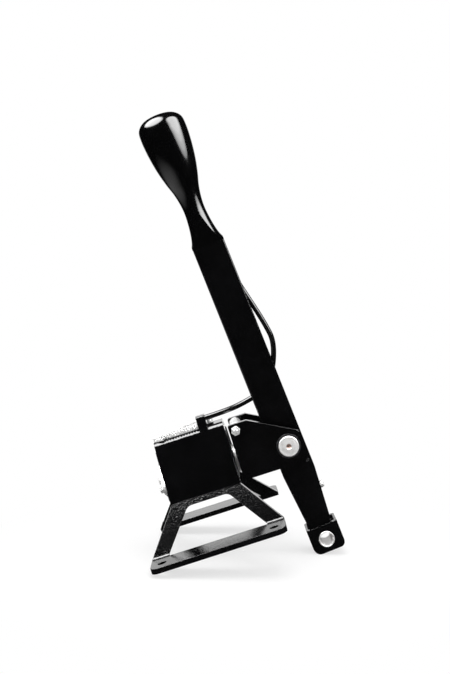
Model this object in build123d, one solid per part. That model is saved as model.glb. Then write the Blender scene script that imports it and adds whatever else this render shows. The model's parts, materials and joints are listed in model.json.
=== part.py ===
from build123d import *
import os
from math import atan2, cos, degrees, hypot, radians, sin, tan

# Short shifter for a car's gearbox. Millimetres.
# +X is forward in the car, +Y to the left, +Z up from the plane of the feet.
# The origin is the middle of the four foot holes, on the underside of the feet.

# Base, one bent sheet
SHEET = 5.0
FOOT_LENGTH = 130.0
FOOT_SPAN = 180.0
RAIL_WIDTH = 30.0
FOOT_CORNER = 8.0
HOLE_SPACING_X = 108.0
HOLE_SPACING_Y = 154.0
FOOT_HOLE = 8.5
BOX_REAR = -36.0
BOX_FRONT = 35.0
BOX_WIDTH = 64.0
BOX_TOP_WIDTH = 30.0
BOX_TOP = 102.8
SKIRT_TOP = 42.6
BEND = 4.0
WINDOW_FOOT = 48.5
WINDOW_HEAD = 20.5
WINDOW_TOP = 38.5
WINDOW_ARCH = 9.0

# Axes of the joints between base, yoke and lever
AXIS_Z = 62.5
PIVOT_X = 90.0
LEAN = 4.0

# Fits
RUN = 0.05
SEAT = 0.02
SIDE_GAP = 0.2
LIFT_GAP = 0.3

# Roll shaft and its ball bearings
SHAFT = 12.0
BEARING = 28.0
BEARING_WIDTH = 8.0
RACE_SPLIT = 18.0
FRONT_PROUD = 3.5
REAR_PROUD = 5.5
FLANGE_SHEET = 3.0
SCREW_WALL = 0.42
FLANGE_SCREW_DROP = 3.4
FLANGE_EAR = 6.5
CIRCLIP = 1.0

# Select arm, its stop and the centring spring
ARM_X = -9.0
ARM_WIDTH = 10.0
ARM_HUB = 24.0
FINGER = 6.0
FINGER_TOP = 85.5
GATE_GAP = 5.8
CENTRE_WIRE = 2.4
CENTRE_TURNS = 4.5
TAB_LOW = 76.5
TAB_HIGH = 81.0
TAB_TALL = 3.0

# Lock rocker on the box and its pawl inside
ROCKER_X = -25.5
ROCKER_Y = 4.0
ROCKER_PIN = 6.0
ROCKER_BUSH = 10.0
ROCKER_SHEET = 2.0
ROCKER_LIFT = 0.3
CLAMP_X = -31.3
CLAMP_HEAD = 8.0
CLAMP_HEAD_HIGH = 2.9
PAWL_SHEET = 4.0
PAWL_TOP = 85.0
PAWL_TIP = 3.0
PAWL_NOTCH = 30.0

# Cable, wire and stop block
CABLE = 5.4
WIRE = 1.6
CABLE_Y = -8.5
BLOCK_REAR = 11.0
BLOCK_LENGTH = 9.0
BLOCK_NEAR = -16.0
BLOCK_FAR = -3.4
BLOCK_TOP = 115.0
BLOCK_EDGE = 2.2
BLOCK_FOOT = 6.3
BLOCK_FOOT_HIGH = 2.4
BLOCK_FOOT_SCREW_Y = -7.2
FERRULE = 6.0
FERRULE_WALL = 0.5
CABLE_Z = 111.0
BLOCK_SCREW_Y = -6.5
WIRE_FRONT_Z = 110.2
WIRE_REAR_Z = 106.4
LOCK_SPRING = 5.6
LOCK_WIRE = 1.1
LOCK_PITCH = 2.9
LOCK_SPRING_Y = -12.8

# Yoke
YOKE_GAP = 4.0
YOKE_SHEET = 6.0
YOKE_INSIDE = 42.0
YOKE_BOTTOM = 43.6
YOKE_TOP = 98.9
YOKE_NOSE_X = 104.0
YOKE_NOSE_Z = 74.1
YOKE_SHOULDER = 58.0
YOKE_BACK = 8.0
YOKE_BACK_TOP = 84.0
YOKE_LOW_CORNER = 16.0
YOKE_NOSE_CORNER = 5.0
CROSS_X = 45.5
CROSS_Z = 92.4
CROSS_TUBE = 12.0

# Pivot pin and bushes
PIN = 12.0
PIN_HEAD = 19.8
PIN_HEAD_HIGH = 2.5
PIN_WASHER = 23.8
PIN_WASHER_HIGH = 1.2
BUSH = 16.0
BUSH_FLANGE = 22.0

# Lever, measured along its own axis from the pivot
LEVER_WIDTH = 33.0
LEVER_THICK = 21.0
LEVER_WALL = 3.0
LEVER_TOP = 210.8
LEVER_TAPER = -31.0
LEVER_FOOT = -91.0
LEVER_FOOT_WIDTH = 22.8
LEVER_EDGE = 1.6
CAVITY_FLOOR = 25.0
PLUG_HIGH = 12.0
DOWEL_S = 12.5
DOWEL_T = -22.5
DOWEL = 3.0

# Fork end at the lever's foot
FORK_S = 0.8
FORK_TOP = -87.3
FORK_BOTTOM = -113.6
FORK_WIDTH = 32.0
FORK_THICK = 30.0
FORK_BORE_T = -101.3
FORK_CORNER = 5.5
FORK_REAR_CORNER = 7.5
FORK_RIM = 2.2
SHANK_TOP = -41.0
SHANK_WIDTH = 15.0
SHANK_THICK = 12.6
SLEEVE_OUT = 15.6
SLEEVE_IN = 13.0
CLAMP_T = -52.0
CLAMP_SCREW = 8.0
CLAMP_PROUD = 4.0

# Knob, measured along the lever's axis from the pivot
KNOB_TOP = 350.4
KNOB_SHOULDER = 331.3
KNOB_WAIST = 246.0
KNOB_WIDE = 48.5
KNOB_NECK = 21.7
KNOB_FLARE = 39.8
KNOB_FLAT_GAP = 0.3
NIPPLE = 4.4
NIPPLE_HIGH = 5.0
KNOB_BORE = 14.2
SPIGOT_TOP = 255.8
KNOB_BORE_TOP = 262.3
LIFT = 3.5
LIFT_ROD = 6.0
LIFT_ROD_TOP = 285.8
LIFT_ROD_FOOT = 170.8
LIFT_HEAD = 11.0
LIFT_HEAD_HIGH = 4.0
LIFT_WIRE = 1.2
LIFT_TURNS = 6
WIRE_S = 9.8

# Metric hexagon sizes: across flats, height
M3_HEAD = (5.5, 3.0)
M3 = 3.0
M4_HEX = (7.0, 2.8)
M4 = 4.0
M5_HEX = (8.0, 3.5)
M5_NUT = (8.0, 4.7)
M5 = 5.0
M5_HOLE = 5.4

# Derived places
rail_inner = FOOT_SPAN / 2 - RAIL_WIDTH
side_slope = (BOX_WIDTH - BOX_TOP_WIDTH) / 2 / (BOX_TOP - SKIRT_TOP)
sheet_across = SHEET * hypot(1, side_slope)
top_under = BOX_TOP - SHEET
front_bearing_x = BOX_FRONT + FRONT_PROUD - BEARING_WIDTH
rear_bearing_x = BOX_REAR - REAR_PROUD
yoke_rear = BOX_FRONT + YOKE_GAP
yoke_outer = YOKE_INSIDE / 2 + YOKE_SHEET
lever_half = LEVER_THICK / 2
knob_base = LEVER_TOP + LIFT_GAP
knob_flat = LEVER_WIDTH + KNOB_FLAT_GAP
block_front = BLOCK_REAR + BLOCK_LENGTH
block_middle = BLOCK_REAR + BLOCK_LENGTH / 2
foot_screw_x = block_front + BLOCK_FOOT / 2 + 0.1
ferrule_across = CABLE + 2 * SEAT + 2 * FERRULE_WALL
rocker_low = BOX_TOP + ROCKER_LIFT
spring_mean = RACE_SPLIT / 2 - 1 + CENTRE_WIRE / 2 + 0.4
spring_rear = ARM_X + ARM_WIDTH / 2 + CENTRE_WIRE / 2 + 0.3
spring_front = spring_rear + (CENTRE_WIRE + 0.15) * CENTRE_TURNS
tab_half = spring_mean - CENTRE_WIRE / 2 - 0.1

DIRECTIONS = {"x": (1, 0, 0), "y": (0, 1, 0), "z": (0, 0, 1)}


def block(x, y, z):
    """A box between two values on each axis."""
    size = Box(x[1] - x[0], y[1] - y[0], z[1] - z[0])
    return Pos((x[0] + x[1]) / 2, (y[0] + y[1]) / 2, (z[0] + z[1]) / 2) * size


def rod(axis, start, length, diameter):
    """A round bar that runs from start along +axis."""
    base = Plane(origin=start, z_dir=DIRECTIONS[axis])
    return base * Cylinder(diameter / 2, length, align=(Align.CENTER, Align.CENTER, Align.MIN))


def tube(axis, start, length, outer, inner):
    return rod(axis, start, length, outer) - rod(axis, start, length, inner)


def hexagon(axis, start, length, across):
    base = Plane(origin=start, z_dir=DIRECTIONS[axis])
    return base * extrude(RegularPolygon(across / 2, 6, major_radius=False), length)


def mirrored(shape):
    """The same piece on the other side of the middle plane."""
    return mirror(shape, about=Plane.XZ)


def shift_up(place, distance):
    return (place[0], place[1], place[2] + distance)


def lever_frame(shape):
    """Moves a piece modelled upright about the pivot to the lever's lean."""
    return Pos(PIVOT_X, 0, AXIS_Z) * Rot(0, -LEAN, 0) * shape


def lever_point(s, t, y=0.0):
    """The place of a point given forward of, up and across the lever's axis."""
    lean = radians(LEAN)
    return (PIVOT_X + s * cos(lean) - t * sin(lean), y, AXIS_Z + s * sin(lean) + t * cos(lean))


def coil(axis_plane, pitch, turns, mean, wire, lefthand=False):
    """A round wire wound on a helix about the plane's normal."""
    path = axis_plane * Helix(pitch, pitch * turns, mean, lefthand=lefthand)
    section = Plane(origin=path @ 0, z_dir=path % 0) * Circle(wire / 2)
    return sweep(section, path=path, is_frenet=True)


# Base

def side_y(z):
    """Half the outer width of the box at a height; its sides lean inwards."""
    return BOX_WIDTH / 2 - (z - SKIRT_TOP) * side_slope


def inner_y(z):
    return side_y(z) - sheet_across - SEAT


def base_frame():
    """One bent sheet: foot rails, flared leg panels, leaning box sides and top."""
    half = SHEET / 2
    mid = sheet_across / 2
    right = [(-FOOT_SPAN / 2, half), (-rail_inner + half, half), (-BOX_WIDTH / 2 + mid, SKIRT_TOP),
             (-side_y(BOX_TOP - half) + mid, BOX_TOP - half)]
    left = [(-y, z) for y, z in reversed(right)]
    bends = [BEND + half, BEND + half, BEND, BEND, BEND + half, BEND + half]
    section = trace(FilletPolyline(*right, *left, radius=bends), line_width=SHEET)
    sheet = extrude(Plane.YZ * section, FOOT_LENGTH / 2, both=True)
    foot = FOOT_LENGTH / 2
    outline = [(-foot, -1), (-foot, SHEET), (BOX_REAR, SKIRT_TOP), (BOX_REAR, BOX_TOP + 1),
               (BOX_FRONT, BOX_TOP + 1), (BOX_FRONT, SKIRT_TOP), (foot, SHEET), (foot, -1)]
    sheet &= extrude(Plane.XZ * make_face(Polyline(*outline, close=True)), FOOT_SPAN, both=True)
    sheet &= extrude(RectangleRounded(FOOT_LENGTH, FOOT_SPAN, FOOT_CORNER), BOX_TOP * 2, both=True)
    head = [(-WINDOW_FOOT, -1), (-WINDOW_FOOT, SHEET), (-WINDOW_HEAD, WINDOW_TOP),
            (WINDOW_HEAD, WINDOW_TOP), (WINDOW_FOOT, SHEET), (WINDOW_FOOT, -1)]
    window = make_face(Polyline(*head, close=True))
    arched = [v for v in window.vertices() if abs(v.Y - WINDOW_TOP) < 0.1]
    window = fillet(arched, WINDOW_ARCH)
    sheet -= extrude(Plane.XZ * window, rail_inner, both=True)
    for x in (-HOLE_SPACING_X / 2, HOLE_SPACING_X / 2):
        for y in (-HOLE_SPACING_Y / 2, HOLE_SPACING_Y / 2):
            sheet -= rod("z", (x, y, -1), SHEET + 2, FOOT_HOLE)
    sheet -= rod("z", (ROCKER_X, ROCKER_Y, top_under - 1), SHEET + 2, ROCKER_BUSH + 2 * SEAT)
    sheet -= rod("z", (block_middle, BLOCK_SCREW_Y, top_under - 2), SHEET + 3, M4 + 0.4)
    return sheet - rod("z", (foot_screw_x, BLOCK_FOOT_SCREW_Y, top_under - 2), SHEET + 3, M3)


def bearing_plate(x):
    """End plate welded inside the box, with the bearing's seat."""
    low = SKIRT_TOP + 2
    corners = [(-inner_y(low), low), (inner_y(low), low), (inner_y(top_under), top_under - SEAT),
               (-inner_y(top_under), top_under - SEAT)]
    face = make_face(Polyline(*corners, close=True))
    face = chamfer([v for v in face.vertices() if v.Y > AXIS_Z], 2.2)
    face -= Pos(0, AXIS_Z) * Circle(BEARING / 2 + SEAT)
    return Pos(x, 0, 0) * extrude(Plane.YZ * face, SHEET)


def front_bearing_plate():
    return bearing_plate(BOX_FRONT - SHEET)


def screw_places():
    """Just inside the leaning walls of the box, below the shaft."""
    z = AXIS_Z - FLANGE_SCREW_DROP
    y = inner_y(z) - M5 / 2 - SCREW_WALL
    return [(-y, z), (y, z)]


def rear_bearing_plate():
    plate = bearing_plate(BOX_REAR)
    for y, z in screw_places():
        plate -= rod("x", (BOX_REAR - 1, y, z), SHEET + 2, M5)
    return plate


def rear_bearing_flange():
    """Oval flange with two screws that holds the rear bearing."""
    outline = Circle(BEARING / 2 + 4.0)
    for y, z in screw_places():
        outline += Pos(y, z - AXIS_Z) * Circle(FLANGE_EAR)
    plate = make_hull(outline.edges())
    plate -= Circle(BEARING / 2 + SEAT)
    for y, z in screw_places():
        plate -= Pos(y, z - AXIS_Z) * Circle(M5_HOLE / 2)
    return Pos(BOX_REAR - FLANGE_SHEET, 0, AXIS_Z) * extrude(Plane.YZ * plate, FLANGE_SHEET)


def flange_screws():
    """Two hexagon head screws in the tapped rear plate."""
    across, high = M5_HEX
    seat = BOX_REAR - FLANGE_SHEET
    solids = []
    for y, z in screw_places():
        shank = rod("x", (seat, y, z), FLANGE_SHEET + SHEET - 0.5, M5 - 2 * SEAT)
        solids.append(shank + hexagon("x", (seat - high, y, z), high, across))
    return Compound(solids)


def bearing_outer(x):
    return tube("x", (x, 0, AXIS_Z), BEARING_WIDTH, BEARING, RACE_SPLIT + 2 * RUN)


def bearing_inner(x):
    return tube("x", (x, 0, AXIS_Z), BEARING_WIDTH, RACE_SPLIT, SHAFT + 2 * SEAT)


def centring_tab():
    """Fixed tab that the two legs of the centring spring clasp."""
    rear = spring_rear - CENTRE_WIRE / 2
    tab = block((rear, BOX_FRONT - SHEET), (-tab_half, tab_half), (TAB_HIGH, TAB_HIGH + TAB_TALL))
    return fillet(tab.edges().filter_by(Axis.X), 0.8)


def gate_stop():
    """Stop on the right wall that ends the roll to the right."""
    low, high = FINGER_TOP - 7, FINGER_TOP + 1
    points = [(-GATE_GAP, low), (-GATE_GAP, high), (-inner_y(high), high), (-inner_y(low), low)]
    stop = extrude(Plane.YZ * make_face(Polyline(*points, close=True)), ARM_WIDTH - 0.5)
    return Pos(ARM_X - ARM_WIDTH / 2, 0, 0) * stop


def under_top():
    """Room below the outer face of the bent top, for pieces that sit on it."""
    low = BOX_TOP - 12
    outer = [(-side_y(low), low), (-side_y(BOX_TOP), BOX_TOP), (side_y(BOX_TOP), BOX_TOP), (side_y(low), low)]
    face = make_face(Polyline(*outer, close=True))
    face = fillet([v for v in face.vertices() if v.Y > BOX_TOP - 0.1], BEND + SHEET / 2)
    return extrude(Plane.YZ * face, FOOT_LENGTH, both=True)


def cable_stop_block():
    """Upright block; the housing seats in its front and the wire goes on to the rear."""
    body = block((BLOCK_REAR, block_front), (BLOCK_NEAR, BLOCK_FAR), (BOX_TOP - 8, BLOCK_TOP))
    tops = [e for e in body.edges().filter_by(Axis.X) if e.center().Z > BLOCK_TOP - 0.1]
    body = fillet(tops, BLOCK_EDGE)
    nose = [e for e in body.edges() if e.center().Z > BLOCK_TOP - 3 and e.center().X > block_front - 0.01]
    body = fillet(nose, 1.2)
    foot_top = BOX_TOP + BLOCK_FOOT_HIGH
    foot = block((block_front - 1, block_front + BLOCK_FOOT), (BLOCK_NEAR + 2.5, BLOCK_FAR), (BOX_TOP - 8, foot_top))
    body += fillet(foot.edges().filter_by(Axis.Z).group_by(Axis.X)[-1], 1.5)
    body -= under_top()
    body -= rod("x", (block_front - FERRULE, CABLE_Y, CABLE_Z), FERRULE + 1, ferrule_across + 2 * SEAT)
    body -= rod("x", (BLOCK_REAR - 1, CABLE_Y, CABLE_Z - 0.3), BLOCK_LENGTH, 3.0)
    body -= rod("z", (block_middle, BLOCK_SCREW_Y, BOX_TOP - 6), 9, M4)
    return body - rod("z", (foot_screw_x, BLOCK_FOOT_SCREW_Y, BOX_TOP - 6), 12, M3 + 0.4)


def stop_block_screw():
    """Hexagon head screw from inside the box up into the stop block."""
    across, high = M4_HEX
    start = (block_middle, BLOCK_SCREW_Y, top_under)
    return hexagon("z", shift_up(start, -high), high, across) + rod("z", start, SHEET + 2.5, M4 - 2 * SEAT)


def stop_foot_screw():
    """Socket head screw through the stop block's foot into the top."""
    across, high = M3_HEAD
    seat = (foot_screw_x, BLOCK_FOOT_SCREW_Y, BOX_TOP + BLOCK_FOOT_HIGH)
    head = rod("z", seat, high, across)
    head = fillet(head.edges().group_by(Axis.Z)[-1], 0.4)
    head -= hexagon("z", shift_up(seat, high - 1.6), 2, M3 * 0.83)
    return head + rod("z", shift_up(seat, -SHEET - BLOCK_FOOT_HIGH), SHEET + BLOCK_FOOT_HIGH, M3 - 2 * SEAT)


def cable_ferrule_block():
    """Steel cap on the housing's end, seated in the stop block."""
    place = (block_front - FERRULE, CABLE_Y, CABLE_Z)
    cap = rod("x", place, FERRULE, ferrule_across)
    cap -= rod("x", (place[0] + 1.5, CABLE_Y, CABLE_Z), FERRULE, CABLE + 2 * SEAT)
    return cap - rod("x", (place[0] - 1, CABLE_Y, CABLE_Z), FERRULE, WIRE + 1.2)


def rocker_bush():
    """Bush welded in the top; the rocker's pin turns in it."""
    body = rod("z", (ROCKER_X, ROCKER_Y, top_under - 4), SHEET + 4, ROCKER_BUSH)
    return body - rod("z", (ROCKER_X, ROCKER_Y, top_under - 5), SHEET + 6, ROCKER_PIN + 2 * RUN)


# Rocker

def rocker_plate():
    """Rocker over the box's rear; wire and spring act on its arm to the right."""
    place = Pos(ROCKER_X, ROCKER_Y)
    clamp = Pos(CLAMP_X, CABLE_Y)
    seat = Pos(ROCKER_X - 1, LOCK_SPRING_Y)
    outline = place * Circle(6.5) + clamp * Circle(4.4) + seat * Circle(3.2)
    plate = make_hull(outline.edges())
    plate -= place * Circle(ROCKER_PIN / 2 + SEAT) + clamp * Circle(M5 / 2 + SEAT)
    plate -= Pos(ROCKER_X + 10, LOCK_SPRING_Y - 7) * Rectangle(20, 20.4)
    body = Pos(0, 0, rocker_low) * extrude(plate, ROCKER_SHEET)
    x = ROCKER_X - ROCKER_SHEET
    ear = block((x, ROCKER_X), (LOCK_SPRING_Y - 2.8, LOCK_SPRING_Y + 2.8), (rocker_low, rocker_low + 6))
    ear = fillet(ear.edges().filter_by(Axis.X).group_by(Axis.Z)[-1], 2.0)
    return body + ear


def rocker_pin():
    low = PAWL_TOP - PAWL_SHEET
    return rod("z", (ROCKER_X, ROCKER_Y, low), rocker_low + ROCKER_SHEET - low, ROCKER_PIN)


def wire_clamp():
    """Round headed clamp screw that holds the inner wire on the rocker."""
    top = rocker_low + ROCKER_SHEET
    stem = rod("z", (CLAMP_X, CABLE_Y, rocker_low), ROCKER_SHEET, M5)
    head = rod("z", (CLAMP_X, CABLE_Y, top), CLAMP_HEAD_HIGH, CLAMP_HEAD)
    head = fillet(head.edges().group_by(Axis.Z)[-1], 1.6)
    return stem + head - wire_line(WIRE + 0.3)


def lock_pawl():
    """Plate under the top; its tip stands beside the select arm's finger."""
    x0, x1 = ARM_X - ARM_WIDTH / 2, ARM_X + 0.5
    tip = Pos((x0 + x1) / 2, GATE_GAP + PAWL_TIP / 2) * Rectangle(x1 - x0, PAWL_TIP)
    outline = Pos(ROCKER_X, ROCKER_Y) * Circle(5.0) + tip
    plate = make_hull(outline.edges())
    plate -= Pos(x0 + PAWL_NOTCH / 2, GATE_GAP - PAWL_NOTCH / 2) * Rectangle(PAWL_NOTCH, PAWL_NOTCH)
    plate -= Pos(ROCKER_X, ROCKER_Y) * Circle(ROCKER_PIN / 2 + SEAT)
    return Pos(0, 0, PAWL_TOP - PAWL_SHEET) * extrude(plate, PAWL_SHEET)


def wire_line(diameter):
    """The straight line of the bare wire between block and rocker."""
    start = Vector(BLOCK_REAR + 2.5, CABLE_Y, WIRE_FRONT_Z)
    run = Vector(CLAMP_X - 4.6, CABLE_Y, WIRE_REAR_Z) - start
    place = Plane(origin=start, z_dir=run)
    return place * Cylinder(diameter / 2, run.length, align=(Align.CENTER, Align.CENTER, Align.MIN))


def inner_wire():
    return wire_line(WIRE)


def lock_spring():
    """Compression spring that pushes the rocker's arm to the rear."""
    mean = (LOCK_SPRING - LOCK_WIRE) / 2
    z = BOX_TOP + LOCK_SPRING / 2 + 0.3
    rear = ROCKER_X + LOCK_WIRE / 2 + 0.05
    front = BLOCK_REAR - LOCK_WIRE / 2 - 0.05
    turns = round((front - rear) / LOCK_PITCH)
    start = Plane(origin=(rear, LOCK_SPRING_Y, z), x_dir=(0, 0, -1), z_dir=(1, 0, 0))
    return coil(start, (front - rear) / turns, turns, mean, LOCK_WIRE)


# Yoke

def yoke_plate():
    """Right side plate; its top slopes down to the nose ahead of the pivot."""
    points = [(yoke_rear, YOKE_BOTTOM), (YOKE_NOSE_X, YOKE_BOTTOM), (YOKE_NOSE_X, YOKE_NOSE_Z),
              (YOKE_SHOULDER, YOKE_TOP), (yoke_rear, YOKE_TOP)]
    face = make_face(Polyline(*points, close=True))
    low = [v for v in face.vertices() if v.X > YOKE_NOSE_X - 0.1 and v.Y < YOKE_NOSE_Z - 1]
    face = fillet(low, YOKE_LOW_CORNER)
    nose = [v for v in face.vertices() if v.X > YOKE_NOSE_X - 0.1 and v.Y > YOKE_NOSE_Z - 0.1]
    face = fillet(nose, YOKE_NOSE_CORNER)
    rest = [v for v in face.vertices() if v.X < YOKE_SHOULDER + 1]
    face = fillet(rest, 2.0)
    face -= Pos(PIVOT_X, AXIS_Z) * Circle(PIN / 2 + RUN)
    face -= Pos(CROSS_X, CROSS_Z) * Circle(M5_HOLE / 2)
    return extrude(Plane.XZ.offset(YOKE_INSIDE / 2) * face, YOKE_SHEET)


def yoke_rear_plate():
    """Plate between the side plates; its boss bears on the front bearing."""
    half = YOKE_INSIDE / 2
    x1 = yoke_rear + YOKE_BACK
    plate = block((yoke_rear, x1), (-half, half), (YOKE_BOTTOM, YOKE_BACK_TOP))
    boss_x = BOX_FRONT + FRONT_PROUD
    plate += rod("x", (boss_x, 0, AXIS_Z), yoke_rear - boss_x, RACE_SPLIT - 1.0)
    return plate - rod("x", (boss_x - 1, 0, AXIS_Z), YOKE_BACK + YOKE_GAP, SHAFT + 2 * SEAT)


def roll_shaft():
    rear = rear_bearing_x - CIRCLIP - 1.2
    shaft = rod("x", (rear, 0, AXIS_Z), yoke_rear + YOKE_BACK - rear, SHAFT)
    groove_x = rear_bearing_x - CIRCLIP
    groove = tube("x", (groove_x, 0, AXIS_Z), CIRCLIP, SHAFT + 2, SHAFT - 1)
    shaft = chamfer(shaft.edges().group_by(Axis.X)[0], 0.8)
    return shaft - groove


def circlip(axis, start, shaft):
    """Snap ring with an open side."""
    ring = tube(axis, start, CIRCLIP, shaft + 4.5, shaft - 1 + 2 * SEAT)
    low = [start[i] - shaft * 0.35 for i in range(3)]
    high = [start[i] + shaft * 0.35 for i in range(3)]
    low[2] = start[2] - shaft
    high[2] = start[2]
    index = "xyz".index(axis)
    low[index] = start[index] - 1
    high[index] = start[index] + CIRCLIP + 1
    return ring - block(*[(low[i], high[i]) for i in range(3)])


def shaft_spacers():
    """Tubes that hold the select arm between the two inner races."""
    arm0, arm1 = ARM_X - ARM_WIDTH / 2, ARM_X + ARM_WIDTH / 2
    rear = rear_bearing_x + BEARING_WIDTH
    inner = SHAFT + 2 * SEAT
    return Compound([tube("x", (rear, 0, AXIS_Z), arm0 - rear, RACE_SPLIT - 2, inner),
                     tube("x", (arm1, 0, AXIS_Z), front_bearing_x - arm1, RACE_SPLIT - 2, inner)])


def select_arm():
    """Hub clamped on the shaft, with a finger between stop and pawl and a spring tab."""
    x0, x1 = ARM_X - ARM_WIDTH / 2, ARM_X + ARM_WIDTH / 2
    hub, finger = ARM_HUB / 2 - 0.5, FINGER / 2
    arm = rod("x", (x0, 0, AXIS_Z), ARM_WIDTH, ARM_HUB)
    web = [(-hub, AXIS_Z), (hub, AXIS_Z), (finger, FINGER_TOP - 7), (finger, FINGER_TOP),
           (-finger, FINGER_TOP), (-finger, FINGER_TOP - 7)]
    arm += Pos(x0, 0, 0) * extrude(Plane.YZ * make_face(Polyline(*web, close=True)), ARM_WIDTH)
    tab_x = (x1, spring_front + CENTRE_WIRE)
    arm += block(tab_x, (-tab_half, tab_half), (TAB_LOW, TAB_LOW + TAB_TALL))
    arm -= rod("x", (x0 - 1, 0, AXIS_Z), ARM_WIDTH + 2, SHAFT + 2 * SEAT)
    return arm - rod("z", (ARM_X, 0, AXIS_Z - ARM_HUB / 2 - 1), ARM_HUB / 2 - SHAFT / 2 + 1, M5 + 2 * SEAT)


def arm_set_screw():
    low = AXIS_Z - ARM_HUB / 2
    screw = rod("z", (ARM_X, 0, low), ARM_HUB / 2 - SHAFT / 2 - SEAT, M5)
    return screw - hexagon("z", (ARM_X, 0, low - 1), 3.5, 2.5)


def centring_spring():
    """Torsion spring round the spacer; its legs clasp the fixed and the moving tab."""
    start = Plane(origin=(spring_rear, 0, AXIS_Z), x_dir=(0, 1, 0), z_dir=(1, 0, 0))
    body = coil(start, CENTRE_WIRE + 0.15, CENTRE_TURNS, spring_mean, CENTRE_WIRE, lefthand=True)
    leg = TAB_HIGH + TAB_TALL + 1 - AXIS_Z
    for x, y in [(spring_rear, spring_mean), (spring_front, -spring_mean)]:
        body += rod("z", (x, y, AXIS_Z), leg, CENTRE_WIRE) + Pos(x, y, AXIS_Z) * Sphere(CENTRE_WIRE * 0.515)
    return body


def cross_bolt():
    """Bolt through both side plates; its hexagon head is on the left."""
    across, high = M5_HEX
    length = 2 * yoke_outer + M5_NUT[1] + 1.4
    start = -yoke_outer - M5_NUT[1] - 1.4
    bolt = rod("y", (CROSS_X, start, CROSS_Z), length, M5)
    bolt = chamfer(bolt.edges().group_by(Axis.Y)[0], 0.8)
    return bolt + hexagon("y", (CROSS_X, yoke_outer, CROSS_Z), high, across)


def cross_nut():
    across, high = M5_NUT
    nut = hexagon("y", (CROSS_X, -yoke_outer - high, CROSS_Z), high, across)
    cone = Pos(CROSS_X, -yoke_outer - high / 2, CROSS_Z) * Rot(90, 0, 0)
    nut &= cone * chamfer(Cylinder(across * 0.58, high).edges().group_by(Axis.Z)[-1], 0.9)
    return nut - rod("y", (CROSS_X, -yoke_outer - high - 1, CROSS_Z), high + 2, M5 + 2 * SEAT)


def cross_spacer():
    return tube("y", (CROSS_X, -YOKE_INSIDE / 2, CROSS_Z), YOKE_INSIDE, CROSS_TUBE, M5_HOLE)


# Pivot

def pivot_pin():
    """Headed pin with a centre drilled face; a circlip holds its far end."""
    seat = -yoke_outer - PIN_WASHER_HIGH
    far = yoke_outer + PIN_WASHER_HIGH + CIRCLIP
    head = rod("y", (PIVOT_X, seat - PIN_HEAD_HIGH, AXIS_Z), PIN_HEAD_HIGH, PIN_HEAD)
    head = chamfer(head.edges().group_by(Axis.Y)[0], 0.7)
    pin = head + rod("y", (PIVOT_X, seat, AXIS_Z), far - seat + 1.6, PIN)
    pin = chamfer(pin.edges().group_by(Axis.Y)[-1], 0.8)
    place = Plane(origin=(PIVOT_X, seat - PIN_HEAD_HIGH, AXIS_Z), z_dir=(0, 1, 0))
    pin -= place * Cone(2.6, 0.2, 3.0, align=(Align.CENTER, Align.CENTER, Align.MIN))
    groove = tube("y", (PIVOT_X, far - CIRCLIP, AXIS_Z), CIRCLIP, PIN + 2, PIN - 1)
    return pin - groove


def pivot_washers():
    solids = []
    for y in (-yoke_outer - PIN_WASHER_HIGH, yoke_outer):
        solids.append(tube("y", (PIVOT_X, y, AXIS_Z), PIN_WASHER_HIGH, PIN_WASHER, PIN + 2 * RUN))
    return Compound(solids)


def pivot_bushes():
    """Flanged bushes pressed in the lever, which turns with them on the pin."""
    solids = []
    flange = 3.0
    body = rod("y", (0, -lever_half - flange, 0), lever_half + flange - 1.5, BUSH)
    body += rod("y", (0, -lever_half - flange - SEAT, 0), flange, BUSH_FLANGE)
    body -= rod("y", (0, -lever_half - flange - 1, 0), LEVER_THICK, PIN + 2 * RUN)
    solids.append(lever_frame(body))
    solids.append(lever_frame(mirrored(body)))
    return Compound(solids)


def pivot_spacers():
    """Tubes on the pin that keep the lever in the middle of the yoke."""
    start = YOKE_INSIDE / 2
    length = start - lever_half - 3.0 - SIDE_GAP
    spacer = tube("y", (PIVOT_X, -start, AXIS_Z), length, BUSH, PIN + 2 * SEAT)
    return Compound([spacer, mirrored(spacer)])


# Lever

def slot_cut(s, t0, t1, depth, width):
    """A round ended slot through the front or rear wall of the lever."""
    place = Plane(origin=(s, 0, (t0 + t1) / 2), x_dir=(0, 0, 1), z_dir=(1, 0, 0))
    return place * extrude(SlotOverall(t1 - t0, width), depth / 2, both=True)


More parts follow.
